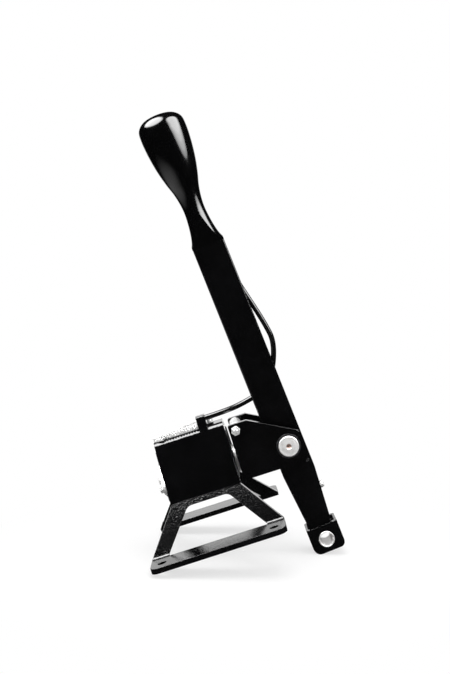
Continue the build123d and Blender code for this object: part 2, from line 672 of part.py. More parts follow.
def lever():
    """Flat sided hollow lever, with slots where the cable goes out and through."""
    half, foot = LEVER_WIDTH / 2, LEVER_FOOT_WIDTH / 2
    points = [(-foot, LEVER_FOOT), (foot, LEVER_FOOT), (half, LEVER_TAPER), (half, LEVER_TOP),
              (-half, LEVER_TOP), (-half, LEVER_TAPER)]
    face = make_face(Polyline(*points, close=True))
    body = extrude(Plane.XZ * face, lever_half, both=True)
    long_edges = [e for e in body.edges() if e.length > 50 and abs(abs(e.center().Y) - lever_half) < 0.1]
    body = fillet(long_edges, LEVER_EDGE)
    inner_s, inner_y = half - LEVER_WALL, lever_half - LEVER_WALL
    body -= block((-inner_s, inner_s), (-inner_y, inner_y), (CAVITY_FLOOR, LEVER_TOP + 1))
    shank_s, shank_y = SHANK_WIDTH / 2 + 0.1, SHANK_THICK / 2 + 0.1
    body -= block((FORK_S - shank_s, FORK_S + shank_s), (-shank_y, shank_y), (LEVER_FOOT - 1, SHANK_TOP + 2))
    body -= rod("y", (0, -lever_half - 1, 0), LEVER_THICK + 2, BUSH + 2 * SEAT)
    wall = half - LEVER_WALL / 2
    body -= slot_cut(wall, 129, 188, LEVER_WALL + 2, CABLE + 2.6)
    body -= slot_cut(wall, 58, 93, LEVER_WALL + 2, CABLE + 2.6)
    body -= slot_cut(-wall, 43, 65, LEVER_WALL + 2, CABLE + 4.6)
    body -= rod("x", (0, 0, CLAMP_T), LEVER_WIDTH, CLAMP_SCREW + 2 * SEAT)
    body -= rod("y", (DOWEL_S, -lever_half - 1, DOWEL_T), LEVER_THICK + 2, DOWEL + 2 * SEAT)
    return lever_frame(body)


def lever_plug():
    """Closes the lever's top and carries the spigot that the knob slides on."""
    s, y = LEVER_WIDTH / 2 - LEVER_WALL - 0.05, lever_half - LEVER_WALL - 0.05
    body = block((-s, s), (-y, y), (LEVER_TOP - PLUG_HIGH, LEVER_TOP))
    body += rod("z", (0, 0, LEVER_TOP), SPIGOT_TOP - LEVER_TOP, KNOB_BORE - 4 * RUN)
    body -= rod("z", (0, 0, LEVER_TOP - PLUG_HIGH - 1), SPIGOT_TOP, LIFT_ROD + 4 * RUN)
    body -= rod("z", (WIRE_S, 0, LEVER_TOP - PLUG_HIGH - 1), FERRULE + 1, ferrule_across + 2 * SEAT)
    body -= rod("z", (WIRE_S, 0, LEVER_TOP - PLUG_HIGH - 1), PLUG_HIGH + 2, WIRE + 1.2)
    return lever_frame(body)


def cable_ferrule_lever():
    """Steel cap on the upper end of the housing, seated in the lever's plug."""
    low = LEVER_TOP - PLUG_HIGH
    cap = rod("z", (WIRE_S, 0, low), FERRULE, ferrule_across)
    cap -= rod("z", (WIRE_S, 0, low - 1), FERRULE - 1, CABLE + 2 * SEAT)
    return lever_frame(cap - rod("z", (WIRE_S, 0, low), 7, WIRE + 1.2))


def lever_dowel():
    return lever_frame(rod("y", (DOWEL_S, -lever_half, DOWEL_T), LEVER_THICK, DOWEL))


def fork_end():
    """Cup over the lever's foot with a shank that slides up inside the lever."""
    half, thick = FORK_WIDTH / 2, FORK_THICK / 2
    body = block((-half, half), (-thick, thick), (FORK_BOTTOM, FORK_TOP))
    body = fillet(body.edges().filter_by(Axis.Z), 3.0)
    body = body & extrude(Plane.XZ * fork_outline(), thick, both=True)
    recess = half - FORK_RIM
    body -= block((-recess, recess), (-lever_half - 0.1, lever_half + 0.1), (LEVER_FOOT, FORK_TOP + 1))
    body += block((-SHANK_WIDTH / 2, SHANK_WIDTH / 2), (-SHANK_THICK / 2, SHANK_THICK / 2),
                  (LEVER_FOOT - 1, SHANK_TOP))
    body -= rod("y", (0, -thick - 1, FORK_BORE_T), FORK_THICK + 2, SLEEVE_OUT + 2 * SEAT)
    return lever_frame(Pos(FORK_S, 0, 0) * body)


def fork_outline():
    """Side view of the fork end with its rounded lower corners."""
    half = FORK_WIDTH / 2
    points = [(-half, FORK_BOTTOM), (half, FORK_BOTTOM), (half, FORK_TOP), (-half, FORK_TOP)]
    face = make_face(Polyline(*points, close=True))
    for side, radius in ((1, FORK_CORNER), (-1, FORK_REAR_CORNER)):
        corner = [v for v in face.vertices() if v.Y < FORK_BOTTOM + 0.1 and abs(v.X - side * half) < 0.1]
        face = fillet(corner, radius)
    return face


def fork_sleeve():
    """Bush for the pin of the gearbox's selector rod."""
    length = FORK_THICK + 0.8
    bush = tube("y", (FORK_S, -length / 2, FORK_BORE_T), length, SLEEVE_OUT, SLEEVE_IN)
    return lever_frame(bush)


def fork_clamp_screw():
    """Socket set screw in the lever's front edge that holds the shank."""
    start = FORK_S + SHANK_WIDTH / 2
    taper = (LEVER_TAPER - CLAMP_T) / (LEVER_TAPER - LEVER_FOOT)
    end = (LEVER_WIDTH - (LEVER_WIDTH - LEVER_FOOT_WIDTH) * taper) / 2 + CLAMP_PROUD
    screw = rod("x", (start, 0, CLAMP_T), end - start, CLAMP_SCREW)
    screw = chamfer(screw.edges().group_by(Axis.X)[-1], 0.7)
    return lever_frame(screw - hexagon("x", (end - 4, 0, CLAMP_T), 5, 4.0))


# Knob

def profile(start, end, shares):
    """Points between two (radius, height) ends, each placed by its share of both."""
    return [(start[0] + (end[0] - start[0]) * r, start[1] + (end[1] - start[1]) * t) for r, t in shares]


def knob():
    """Turned drop shape, milled flat at its base to the lever's sides."""
    foot, neck = (KNOB_FLARE / 2, knob_base), (KNOB_NECK / 2, KNOB_WAIST)
    shoulder, tip = (KNOB_WIDE / 2, KNOB_SHOULDER), (0, KNOB_TOP)
    flare = profile(foot, neck, [(0, 0), (0.486, 0.193), (0.812, 0.539), (1, 1)])
    swell = profile(neck, shoulder, [(0, 0), (0.037, 0.14), (0.194, 0.279), (0.459, 0.419), (0.679, 0.558),
                                     (0.84, 0.698), (0.959, 0.86), (1, 1)])
    crown = profile(shoulder, tip, [(0, 0), (0.043, 0.5), (0.266, 0.821), (1, 1)])
    outline = Line((0, knob_base), foot)
    outline += Spline(*flare, tangents=[(-0.62, 0.78), (-0.02, 1)])
    outline += Spline(*swell, tangents=[(-0.02, 1), (0, 1)])
    outline += Spline(*crown, tangents=[(0, 1), (-1, 0)])
    outline += Line(tip, (0, knob_base))
    body = revolve(Plane.XZ * make_face(outline), Axis.Z)
    flats = block((-knob_flat / 2, knob_flat / 2), (-lever_half, lever_half), (knob_base - 1, KNOB_WAIST))
    reach = (-KNOB_WIDE, KNOB_WIDE)
    body = body & (flats + block(reach, reach, (KNOB_WAIST, KNOB_TOP + 1)))
    body -= rod("z", (0, 0, knob_base - 1), KNOB_BORE_TOP - knob_base + 1, KNOB_BORE)
    body -= rod("z", (0, 0, KNOB_BORE_TOP - 1), LIFT_ROD_TOP - KNOB_BORE_TOP + 1, LIFT_ROD + 2 * SEAT)
    return lever_frame(body - rod("z", (WIRE_S, 0, knob_base - 1), NIPPLE_HIGH + 1.2, NIPPLE))


def lift_rod():
    """Rod screwed into the knob; its head below the plug carries the lift spring."""
    body = rod("z", (0, 0, LIFT_ROD_FOOT), LIFT_ROD_TOP - LIFT_ROD_FOOT - 1, LIFT_ROD)
    body += rod("z", (0, 0, LIFT_ROD_FOOT - LIFT_HEAD_HIGH), LIFT_HEAD_HIGH, LIFT_HEAD)
    return lever_frame(body)


def wire_nipple():
    return lever_frame(rod("z", (WIRE_S, 0, knob_base + 0.2), NIPPLE_HIGH, NIPPLE - 2 * SEAT))


def lift_spring():
    """Compression spring between the lift rod's head and the lever's plug."""
    room = LEVER_TOP - PLUG_HIGH - LIFT_ROD_FOOT - LIFT_WIRE - 0.4
    mean = (LIFT_ROD + 1.0 + LIFT_WIRE) / 2
    start = Plane(origin=(0, 0, LIFT_ROD_FOOT + LIFT_WIRE / 2 + 0.2), z_dir=(0, 0, 1))
    return lever_frame(coil(start, room / LIFT_TURNS, LIFT_TURNS, mean, LIFT_WIRE))


# Cable, as points chosen along its route

def cable_route():
    """Points of the housing's centre line from the lever's plug to the stop block."""
    along_lever = [(WIRE_S, LEVER_TOP - 8), (WIRE_S, LEVER_TOP - 24), (13.4, 166), (23.2, 119),
                   (25.3, 94.2), (4.6, 56.9)]
    points = [lever_point(s, t) for s, t in along_lever]
    points += [(58.4, -2.6, 111.9), (36.5, CABLE_Y, CABLE_Z), (block_front - FERRULE + 1.5, CABLE_Y, CABLE_Z)]
    return [Vector(*p) for p in points]


def bend_radius(before, corner, after):
    """The largest tangent arc that leaves a tenth of the shorter run on each side."""
    first, second = corner - before, after - corner
    turn = first.get_angle(second)
    return 0.45 * min(first.length, second.length) / tan(radians(turn / 2))


def cable_span(first, last):
    """One stretch of the housing between the middles of two runs."""
    points = cable_route()
    radii = [bend_radius(*points[i - 1:i + 2]) for i in range(1, len(points) - 1)]
    start = points[0] if first == 0 else (points[first - 1] + points[first]) / 2
    end = points[-1] if last == len(points) - 1 else (points[last] + points[last + 1]) / 2
    inner = points[max(first, 1):min(last, len(points) - 2) + 1]
    path = FilletPolyline(start, *inner, end, radius=radii[max(first, 1) - 1:min(last, len(points) - 2)])
    section = Plane(origin=path @ 0, z_dir=path % 0) * Circle(CABLE / 2)
    solid = sweep(section, path=path)
    area = 3.14159 * CABLE ** 2 / 4
    ratio = solid.volume / (area * path.length)
    spread = ", ".join(f"{r:.0f}" for r in radii[max(first, 1) - 1:min(last, len(points) - 2)])
    print(f"cable {first}-{last}: {path.length:.1f} mm, volume ratio {ratio:.4f}, radii {spread}")
    return solid


PARTS = {
    "base_frame": base_frame,
    "front_bearing_plate": front_bearing_plate,
    "rear_bearing_plate": rear_bearing_plate,
    "rear_bearing_flange": rear_bearing_flange,
    "flange_screws": flange_screws,
    "front_bearing_outer": lambda: bearing_outer(front_bearing_x),
    "rear_bearing_outer": lambda: bearing_outer(rear_bearing_x),
    "centring_tab": centring_tab,
    "gate_stop": gate_stop,
    "cable_stop_block": cable_stop_block,
    "stop_block_screw": stop_block_screw,
    "stop_foot_screw": stop_foot_screw,
    "cable_ferrule_block": cable_ferrule_block,
    "rocker_bush": rocker_bush,
    "rocker_plate": rocker_plate,
    "rocker_pin": rocker_pin,
    "wire_clamp": wire_clamp,
    "lock_pawl": lock_pawl,
    "inner_wire": inner_wire,
    "lock_spring": lock_spring,
    "yoke_right_plate": yoke_plate,
    "yoke_left_plate": lambda: mirrored(yoke_plate()),
    "yoke_rear_plate": yoke_rear_plate,
    "roll_shaft": roll_shaft,
    "front_bearing_inner": lambda: bearing_inner(front_bearing_x),
    "rear_bearing_inner": lambda: bearing_inner(rear_bearing_x),
    "shaft_circlip": lambda: circlip("x", (rear_bearing_x - CIRCLIP, 0, AXIS_Z), SHAFT),
    "shaft_spacers": shaft_spacers,
    "select_arm": select_arm,
    "arm_set_screw": arm_set_screw,
    "centring_spring": centring_spring,
    "cross_bolt": cross_bolt,
    "cross_nut": cross_nut,
    "cross_spacer": cross_spacer,
    "pivot_pin": pivot_pin,
    "pivot_washers": pivot_washers,
    "pivot_circlip": lambda: circlip("y", (PIVOT_X, yoke_outer + PIN_WASHER_HIGH, AXIS_Z), PIN),
    "pivot_bushes": pivot_bushes,
    "pivot_spacers": pivot_spacers,
    "lever": lever,
    "lever_plug": lever_plug,
    "lever_dowel": lever_dowel,
    "cable_ferrule_lever": cable_ferrule_lever,
    "fork_end": fork_end,
    "fork_sleeve": fork_sleeve,
    "fork_clamp_screw": fork_clamp_screw,
    "knob": knob,
    "lift_rod": lift_rod,
    "wire_nipple": wire_nipple,
    "lift_spring": lift_spring,
    "cable_lever_run": lambda: cable_span(0, 5),
    "cable_yoke_span": lambda: cable_span(6, 6),
    "cable_base_span": lambda: cable_span(7, 8),
}


def main():
    os.makedirs("parts", exist_ok=True)
    for name, make in PARTS.items():
        export_step(make(), f"parts/{name}.step")


if __name__ == "__main__":
    main()
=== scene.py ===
import json
import math

import bmesh
import bpy
from bpy.props import FloatProperty, FloatVectorProperty, IntProperty, PointerProperty
from mathutils import Matrix, Vector


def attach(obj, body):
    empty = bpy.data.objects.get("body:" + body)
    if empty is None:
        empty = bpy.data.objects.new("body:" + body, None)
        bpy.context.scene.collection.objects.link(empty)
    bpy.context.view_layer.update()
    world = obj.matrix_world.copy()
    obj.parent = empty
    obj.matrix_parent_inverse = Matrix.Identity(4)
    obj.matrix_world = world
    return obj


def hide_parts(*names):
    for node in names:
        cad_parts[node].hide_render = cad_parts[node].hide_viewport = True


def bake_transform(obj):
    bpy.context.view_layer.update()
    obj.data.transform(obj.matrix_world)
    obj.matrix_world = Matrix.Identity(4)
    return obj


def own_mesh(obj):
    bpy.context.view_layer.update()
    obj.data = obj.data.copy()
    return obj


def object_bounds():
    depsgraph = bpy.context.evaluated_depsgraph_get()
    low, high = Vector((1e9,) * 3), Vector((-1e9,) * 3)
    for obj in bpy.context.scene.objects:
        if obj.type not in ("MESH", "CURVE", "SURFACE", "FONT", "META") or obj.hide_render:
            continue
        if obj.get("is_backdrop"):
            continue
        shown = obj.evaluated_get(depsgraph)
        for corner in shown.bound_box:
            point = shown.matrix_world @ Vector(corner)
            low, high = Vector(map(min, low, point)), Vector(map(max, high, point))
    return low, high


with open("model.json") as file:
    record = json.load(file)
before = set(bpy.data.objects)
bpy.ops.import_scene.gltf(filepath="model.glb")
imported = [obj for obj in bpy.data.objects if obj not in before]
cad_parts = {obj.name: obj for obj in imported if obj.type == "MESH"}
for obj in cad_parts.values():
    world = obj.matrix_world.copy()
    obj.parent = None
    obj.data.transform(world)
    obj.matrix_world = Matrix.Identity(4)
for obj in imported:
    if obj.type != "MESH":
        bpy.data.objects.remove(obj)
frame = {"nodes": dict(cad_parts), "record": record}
CAD_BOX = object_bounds()

bl_info = {
    "name": "Short Shifter",
    "version": (1, 0, 0),
    "blender": (4, 5, 0),
    "location": "View3D > Sidebar > Shifter",
    "description": "Finishes, turned parts, cable, springs and studio for a short shifter",
    "category": "Object",
}

MM = 0.001
NODES = frame["nodes"]

# Places and sizes of the solids, as in the part's source, in millimetres and degrees
AXIS_Z = 62.5
PIVOT_X = 90.0
LEAN = 4.0
YOKE_OUTER = 27.0
WASHER = 1.2
PIN_SEAT = -YOKE_OUTER - WASHER
LEVER_HALF = 10.5
LEVER_TOP = 210.8
KNOB_BASE = LEVER_TOP + 0.1
KNOB_WAIST = 246.0
KNOB_SHOULDER = 331.3
KNOB_TOP = 350.4
KNOB_HALF_WIDTH = 16.65
KNOB_BORE = 7.1
KNOB_BORE_DEPTH = 51.2
BOX_REAR = -36.0
BOX_FRONT = 35.0
BOX_TOP = 102.8
FLANGE_SEAT = BOX_REAR - 3.0
ROCKER_TOP = BOX_TOP + 2.3
REAR_BEARING_FACE = -41.5
FRONT_BEARING_FACE = 38.5
CABLE_Y = -8.5
CABLE_Z = 111.0
JACKET = 5.4
BARE_WIRE = 1.6
M5_ACROSS = 8.0
M5_NUT = 4.7

# Solids that are ground about the roll axis
ON_SHAFT = {"front_bearing_outer", "rear_bearing_outer", "front_bearing_inner",
            "rear_bearing_inner", "roll_shaft"}

# Sockets of a Mix node that mixes colours
MIX_FACTOR, MIX_FIRST, MIX_SECOND, MIX_RESULT = 0, 6, 7, 2

# In metres: nearer points are merged, and shorter edges are dissolved
MERGED = 2e-6
SLIVER = 1e-6

WHITE = (1.0, 1.0, 1.0, 1.0)

# The studio's own axes. The part leans, propped on its floor, and the camera looks level.
TILT = math.atan2(0.3057, 0.9521)
UP = Vector((math.sin(TILT), 0, math.cos(TILT)))
RIGHT = Vector((math.cos(TILT), 0, -math.sin(TILT)))
TOWARD = Vector((0, -1, 0))
VIEW_CENTRE = Vector((80.4, 0, 231.7)) * MM
VIEW_DISTANCE = 936.0 * MM
PICTURE_HEIGHT = 674
FLOOR_RINGS = (1, 100, 200, 300, 420, 700, 1000)
FLOOR_GAP = 0.3 * MM

# Nested lamps of a softbox, from rim to middle: share of its size, share of its light
SOFTBOX_STEPS = ((1.0, 0.42), (0.91, 0.22), (0.82, 0.2), (0.73, 0.16))
SOFTBOX_AIM = Vector((0.065, 0.0, 0.39))
SOFTBOX_REACH = 1.1
SOFTBOX_GAP = 0.01
EVEN_WATTS = 5.4

# Corners of the black card, along and up its face, in metres
CARD = ((-0.26, -0.18), (0.26, 0.08), (0.26, 0.2), (0.085, 0.2), (-0.26, -0.09))


# Sockets as numbers

class Wire:
    """A shader socket on which Python's operators build Math nodes."""

    def __init__(self, net, socket):
        self.net = net
        self.socket = socket

    def combine(self, operation, *operands):
        return self.net.node("ShaderNodeMath", {"operation": operation},
                             dict(enumerate(operands)))

    def __add__(self, other):
        return self.combine("ADD", self, other)

    def __radd__(self, other):
        return self.combine("ADD", other, self)

    def __sub__(self, other):
        return self.combine("SUBTRACT", self, other)

    def __rsub__(self, other):
        return self.combine("SUBTRACT", other, self)

    def __mul__(self, other):
        return self.combine("MULTIPLY", self, other)

    def __rmul__(self, other):
        return self.combine("MULTIPLY", other, self)

    def minimum(self, other):
        return self.combine("MINIMUM", self, other)

    def sine(self):
        return self.combine("SINE", self)


class Net:
    """The nodes of one material or of the world."""

    def __init__(self, tree):
        self.tree = tree
        tree.nodes.clear()

    def node(self, kind, settings=None, inputs=None, output=0):
        """Adds a node: its settings first, then values or links for its sockets."""
        made = self.tree.nodes.new(kind)
        for name, value in (settings or {}).items():
            setattr(made, name, value)
        for key, value in (inputs or {}).items():
            if isinstance(value, Wire):
                self.tree.links.new(value.socket, made.inputs[key])
            else:
                made.inputs[key].default_value = value
        return Wire(self, made.outputs[output]) if made.outputs else None

    def vector(self, operation, *operands, output="Vector"):
        """Vector Math, with output "Value" where the answer is a number."""
        return self.node("ShaderNodeVectorMath", {"operation": operation},
                         dict(enumerate(operands)), output)

    def place(self):
        """Where a point lies on its own body, in metres, in the row frame at rest."""
        return self.node("ShaderNodeTexCoord", output="Object")

    def along(self, place, direction):
        """How far a place lies along a direction."""
        return self.vector("DOT_PRODUCT", place, direction, output="Value")

    def noise(self, feature, detail=2.0, rough=0.5, stretch=None):
        """Noise whose lumps are about feature metres across, from 0 to 1."""
        where = self.place()
        if stretch:
            where = self.vector("MULTIPLY", where, stretch)
        return self.node("ShaderNodeTexNoise", None, {
            "Vector": where, "Scale": 1.0 / feature, "Detail": detail, "Roughness": rough})

    def band(self, value, low, high):
        """0 below low, 1 above high, and a smooth rise between."""
        return self.node("ShaderNodeMapRange", {"interpolation_type": "SMOOTHSTEP"},
                         {"Value": value, "From Min": low, "From Max": high})

    def blend(self, factor, first, second):
        """Two colours, or two normals, mixed by a value or socket."""
        return self.node("ShaderNodeMix", {"data_type": "RGBA"},
                         {MIX_FACTOR: factor, MIX_FIRST: first, MIX_SECOND: second},
                         MIX_RESULT)

    def layered(self, factor, first, second):
        """Two shaders mixed by a socket."""
        return self.node("ShaderNodeMixShader", None, {0: factor, 1: first, 2: second})

    def ray(self, kind):
        """1 on the rays that the Light Path node calls by this name, and 0 on others."""
        return self.node("ShaderNodeLightPath", output=kind)

    def shine(self, kind, strength):
        """A white Emission or Background."""
        return self.node(kind, None, {"Color": WHITE, "Strength": strength})

    def bump(self, height, distance, strength, normal=None):
        """The normal of a relief that is distance metres high, on top of another normal."""
        inputs = {"Height": height, "Distance": distance, "Strength": strength}
        if normal:
            inputs["Normal"] = normal
        return self.node("ShaderNodeBump", None, inputs)

    def rounded(self, radius):
        """A normal that rounds hard edges, as paint, plating and a file do."""
        return self.node("ShaderNodeBevel", {"samples": 6}, {"Radius": radius})

    def surface(self, **inputs):
        """Ends the net in one Principled BSDF."""
        named = {name.replace("_", " "): value for name, value in inputs.items()}
        shader = self.node("ShaderNodeBsdfPrincipled", None, named)
        self.node("ShaderNodeOutputMaterial", None, {"Surface": shader})


def new_net(name):
    """A new material and its net."""
    material = bpy.data.materials.new(name)
    material.use_nodes = True
    return material, Net(material.node_tree)


def tinted(colour, factor=1.0):
    """A colour with its channels scaled, and opaque."""
    return (*(channel * factor for channel in colour), 1.0)


# Places

def axis_place(origin, direction, spin=0.0):
    """A matrix in millimetres whose z axis leaves origin along direction."""
    turn = Vector(direction).to_track_quat("Z", "Y").to_matrix().to_4x4()
    return Matrix.Translation(Vector(origin)) @ turn @ Matrix.Rotation(math.radians(spin), 4, "Z")


def lever_place():
    """The lever's own frame: z runs up the lever from the pivot."""
    return Matrix.Translation((PIVOT_X, 0, AXIS_Z)) @ Matrix.Rotation(math.radians(-LEAN), 4, "Y")


def lever_point(forward, rise):
    """A point in the lever's middle plane, forward of its axis and up it from the pivot."""
    return lever_place() @ Vector((forward, 0, rise))


def in_studio(right, up, toward):
    """A step along the studio's axes."""
    return RIGHT * right + UP * up + TOWARD * toward


# Finishes

def powder_coat(name, colour, peel, gloss):
    """Satin powder coat: orange peel, faint patches of sheen and soft cut edges."""
    material, net = new_net(name)
    orange_peel = net.noise(peel, detail=1.5, rough=0.4)
    grain = net.noise(0.35 * MM, detail=1.0)
    patches = net.noise(35 * MM, detail=3.0, rough=0.6)
    tone = net.blend(net.band(patches, 0.35, 0.7), tinted(colour, 0.85), tinted(colour, 1.3))
    rough = gloss + (patches - 0.5) * 0.08 + (grain - 0.5) * 0.04
    # The lever's top edge, in the joint under the knob, stays sharp
    lever_axis = lever_place().to_3x3() @ Vector((0, 0, 1))
    joint = lever_axis.dot(lever_point(0, LEVER_TOP)) * MM
    near_joint = net.band(net.along(net.place(), lever_axis), joint - 2 * MM, joint - 1 * MM)
    plain = net.node("ShaderNodeNewGeometry", output="Normal")
    edges = net.blend(near_joint, net.rounded(0.6 * MM), plain)
    normal = net.bump(orange_peel * 0.9 + grain * 0.1, 0.2 * MM, 0.6, edges)
    net.surface(Base_Color=tone, Roughness=rough, Normal=normal)
    return material


def knob_gloss(name, colour):
    """Polished black acetal with a trace of lathe marks and fine wipe marks."""
    material, net = new_net(name)
    wipes = net.noise(4 * MM, detail=4.0, rough=0.7, stretch=(1.0, 1.0, 0.18))
    rings = net.noise(0.9 * MM, detail=1.0, stretch=(0.02, 0.02, 1.0))
    dust = net.band(net.noise(1.6 * MM), 0.72, 0.8)
    tone = net.blend(dust * 0.15, tinted(colour), (0.05, 0.05, 0.05, 1.0))
    rough = 0.085 + wipes * 0.04 + dust * 0.08
    normal = net.bump(rings, 0.01 * MM, 0.12)
    net.surface(Base_Color=tone, Roughness=rough, Normal=normal)
    return material


def plated(name, colour, rough_low, rough_high, metal):
    """Bright zinc plate: cloudy tone, brush lines and small pores."""
    material, net = new_net(name)
    clouds = net.noise(6 * MM, detail=4.0, rough=0.6)
    lines = net.noise(0.5 * MM, stretch=(0.15, 1.0, 1.0))
    pores = net.band(net.noise(0.4 * MM, detail=1.0), 0.66, 0.74)
    tone = net.blend(net.band(clouds, 0.3, 0.75), tinted(colour), tinted(colour, 0.72))
    rough = rough_low + net.band(clouds, 0.3, 0.7) * (rough_high - rough_low) + pores * 0.1
    relief = lines * 0.6 + (1 - pores) * 0.4
    normal = net.bump(relief, 0.02 * MM, 0.3, net.rounded(0.25 * MM))
    net.surface(Base_Color=tone, Roughness=rough, Metallic=metal, Normal=normal)
    return material


def turned_steel(name, colour, centre, axis):
    """Ground steel with fine rings about a turning axis, and darker brown within about 3 mm of
    the axis.
    """
    material, net = new_net(name)
    off_axis = tuple(1.0 - part for part in axis)
    across = net.vector("MULTIPLY", net.vector("SUBTRACT", net.place(), centre), off_axis)
    radius = net.vector("LENGTH", across, output="Value")
    rings = (radius * (math.tau / (0.42 * MM))).sine()
    stain = net.noise(3 * MM, detail=3.0)
    tone = net.blend(net.band(stain, 0.45, 0.8), tinted(colour), tinted(colour, 0.8))
    # Darker brown fully within 1.9 mm of the axis, fading out by 3.1 mm; on the pivot pin this
    # fills its centre drill
    tone = net.blend(net.band(radius, 1.9 * MM, 3.1 * MM), (0.34, 0.24, 0.2, 1.0), tone)
    normal = net.bump(rings, 0.006 * MM, 0.5, net.rounded(0.2 * MM))
    net.surface(Base_Color=tone, Roughness=0.36 + stain * 0.14, Metallic=0.42, Normal=normal)
    return material


def black_oxide(name, colour):
    """Blackened steel, browner and duller in patches."""
    material, net = new_net(name)
    patches = net.noise(2 * MM, detail=3.0)
    tone = net.blend(net.band(patches, 0.4, 0.7), tinted(colour), tinted(colour, 2.2))
    normal = net.bump(net.noise(0.3 * MM), 0.01 * MM, 0.4, net.rounded(0.2 * MM))
    net.surface(Base_Color=tone, Roughness=0.34 + patches * 0.16, Metallic=0.6, Normal=normal)
    return material


def sintered_bronze(name, colour):
    """Pressed bronze with dark open pores."""
    material, net = new_net(name)
    pores = net.band(net.noise(0.5 * MM), 0.55, 0.7)
    tone = net.blend(pores, tinted(colour), tinted(colour, 0.45))
    normal = net.bump(1 - pores, 0.03 * MM, 0.6, net.rounded(0.2 * MM))
    net.surface(Base_Color=tone, Roughness=0.32 + pores * 0.25, Metallic=1.0, Normal=normal)
    return material


def cable_jacket(name, colour):
    """Smooth extruded jacket: a low sheen, and patches dulled by handling."""
    material, net = new_net(name)
    handling = net.noise(12 * MM, detail=3.0)
    tone = net.blend(net.band(handling, 0.5, 0.8), tinted(colour), tinted(colour, 1.8))
    normal = net.bump(net.noise(1.2 * MM), 0.02 * MM, 0.25)
    net.surface(Base_Color=tone, Roughness=0.12 + handling * 0.08, Normal=normal,
                Specular_IOR_Level=0.6)
    return material


def seal_rubber(name, colour):
    """Matt moulded rubber with a fine grain."""
    material, net = new_net(name)
    grain = net.noise(0.4 * MM)
    tone = net.blend(net.noise(4 * MM), tinted(colour), tinted(colour, 1.7))
    net.surface(Base_Color=tone, Roughness=0.55 + grain * 0.15,
                Normal=net.bump(grain, 0.02 * MM, 0.3))
    return material


def weld_metal(name, colour):
    """Coated weld bead: the paint is thinner and glossier on the ripples."""
    material, net = new_net(name)
    ripple = net.noise(1.2 * MM)
    tone = net.blend(ripple, tinted(colour), tinted(colour, 1.5))
    net.surface(Base_Color=tone, Roughness=0.3 + ripple * 0.15,
                Normal=net.bump(ripple, 0.05 * MM, 0.4))
    return material


# Meshes

def shaded(mesh, sharp=28.0):
    """Cleans a mesh, turns its faces outwards and keeps edges over sharp degrees crisp."""
    work = bmesh.new()
    work.from_mesh(mesh)
    bmesh.ops.remove_doubles(work, verts=work.verts, dist=MERGED)
    bmesh.ops.dissolve_degenerate(work, edges=work.edges, dist=SLIVER)
    bmesh.ops.recalc_face_normals(work, faces=work.faces)
    work.to_mesh(mesh)
    work.free()
    mesh.shade_smooth()
    mesh.set_sharp_from_angle(angle=math.radians(sharp))
    return mesh


def skin(name, rings, sharp=28.0, capped=True):
    """A mesh through rings of points in millimetres, each with the same count."""
    count = len(rings[0])
    points = [tuple(Vector(p) * MM) for ring in rings for p in ring]
    last = len(points) - count
    faces = []
    for low in range(0, last, count):
        high = low + count
        for j in range(count):
            k = (j + 1) % count
            faces.append((low + j, low + k, high + k, high + j))
    if capped:
        faces.append(tuple(reversed(range(count))))
        faces.append(tuple(range(last, last + count)))
    mesh = bpy.data.meshes.new(name)
    mesh.from_pydata(points, [], faces)
    return shaded(mesh, sharp)


def hexagon(across, limit=math.inf):
    """Radius of a hexagon by angle, cut off at limit as a chamfer cuts it."""
    def radius(angle):
        from_flat = math.fmod(angle, math.pi / 3) - math.pi / 6
        return min(across / 2 / math.cos(from_flat), limit)
    return radius


def turned(name, place, rows, points=48, sharp=28.0, capped=True):
    """A body turned about place's z axis through rows of (height, radius or outline)."""
    angles = [math.tau * i / points for i in range(points)]
    rings = []
    for height, outline in rows:
        radii = [outline(a) if callable(outline) else outline for a in angles]
        rings.append([place @ Vector((r * math.cos(a), r * math.sin(a), height))
                      for r, a in zip(radii, angles)])
    return skin(name, rings, sharp, capped)


def thread_rows(low, high, radius, pitch, depth):
    """Rows of a screw thread, which runs out to its root at both ends."""
    rows_per_turn, run_out, crest_width = 8, pitch * 0.6, 1.35
    rows = []
    steps = max(2, round((high - low) / pitch * rows_per_turn))
    for i in range(steps + 1):
        height = low + (high - low) * i / steps
        ease = min(1.0, min(height - low, high - height) / run_out)

        def outline(angle, height=height, ease=ease):
            phase = (height / pitch - angle / math.tau) % 1.0
            crest = 1.0 - abs(2.0 * phase - 1.0)
            return radius - depth * (1.0 - ease * min(1.0, crest * crest_width))
        rows.append((height, outline))
    return rows


def tube_along(name, path, radius, sides, swell=None):
    """A tube about a line of points in millimetres, its frame carried along without twist."""
    turns = [math.tau * j / sides for j in range(sides)]
    side = None
    rings = []
    for i, point in enumerate(path):
        ahead = path[min(i + 1, len(path) - 1)] - path[max(i - 1, 0)]
        ahead.normalize()
        if side is None:
            side = ahead.orthogonal().normalized()
        side = (side - ahead * side.dot(ahead)).normalized()
        up = ahead.cross(side)
        width = radius * (swell(i) if swell else 1.0)
        rings.append([point + (side * math.cos(a) + up * math.sin(a)) * width for a in turns])
    return skin(name, rings, sharp=40.0)


def joined(name, meshes):
    """Several meshes as one, with the sharp edges they have."""
    work = bmesh.new()
    for mesh in meshes:
        work.from_mesh(mesh)
    whole = bpy.data.meshes.new(name)
    work.to_mesh(whole)
    work.free()
    for mesh in meshes:
        bpy.data.meshes.remove(mesh)
    return whole


def linked(name, data):
    """A new object in the scene."""
    item = bpy.data.objects.new(name, data)
    bpy.context.scene.collection.objects.link(item)
    return item


def add_piece(name, mesh, slot, body=None, replaces=None, finish=None):
    """Adds a piece with its slot's finish or another, its body and the solid it stands for."""
    item = linked(name, mesh)
    mesh.materials.clear()
    mesh.materials.append(finish_named(finish or slot))
    if body:
        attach(item, body)
    if replaces:
        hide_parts(replaces)
    return item


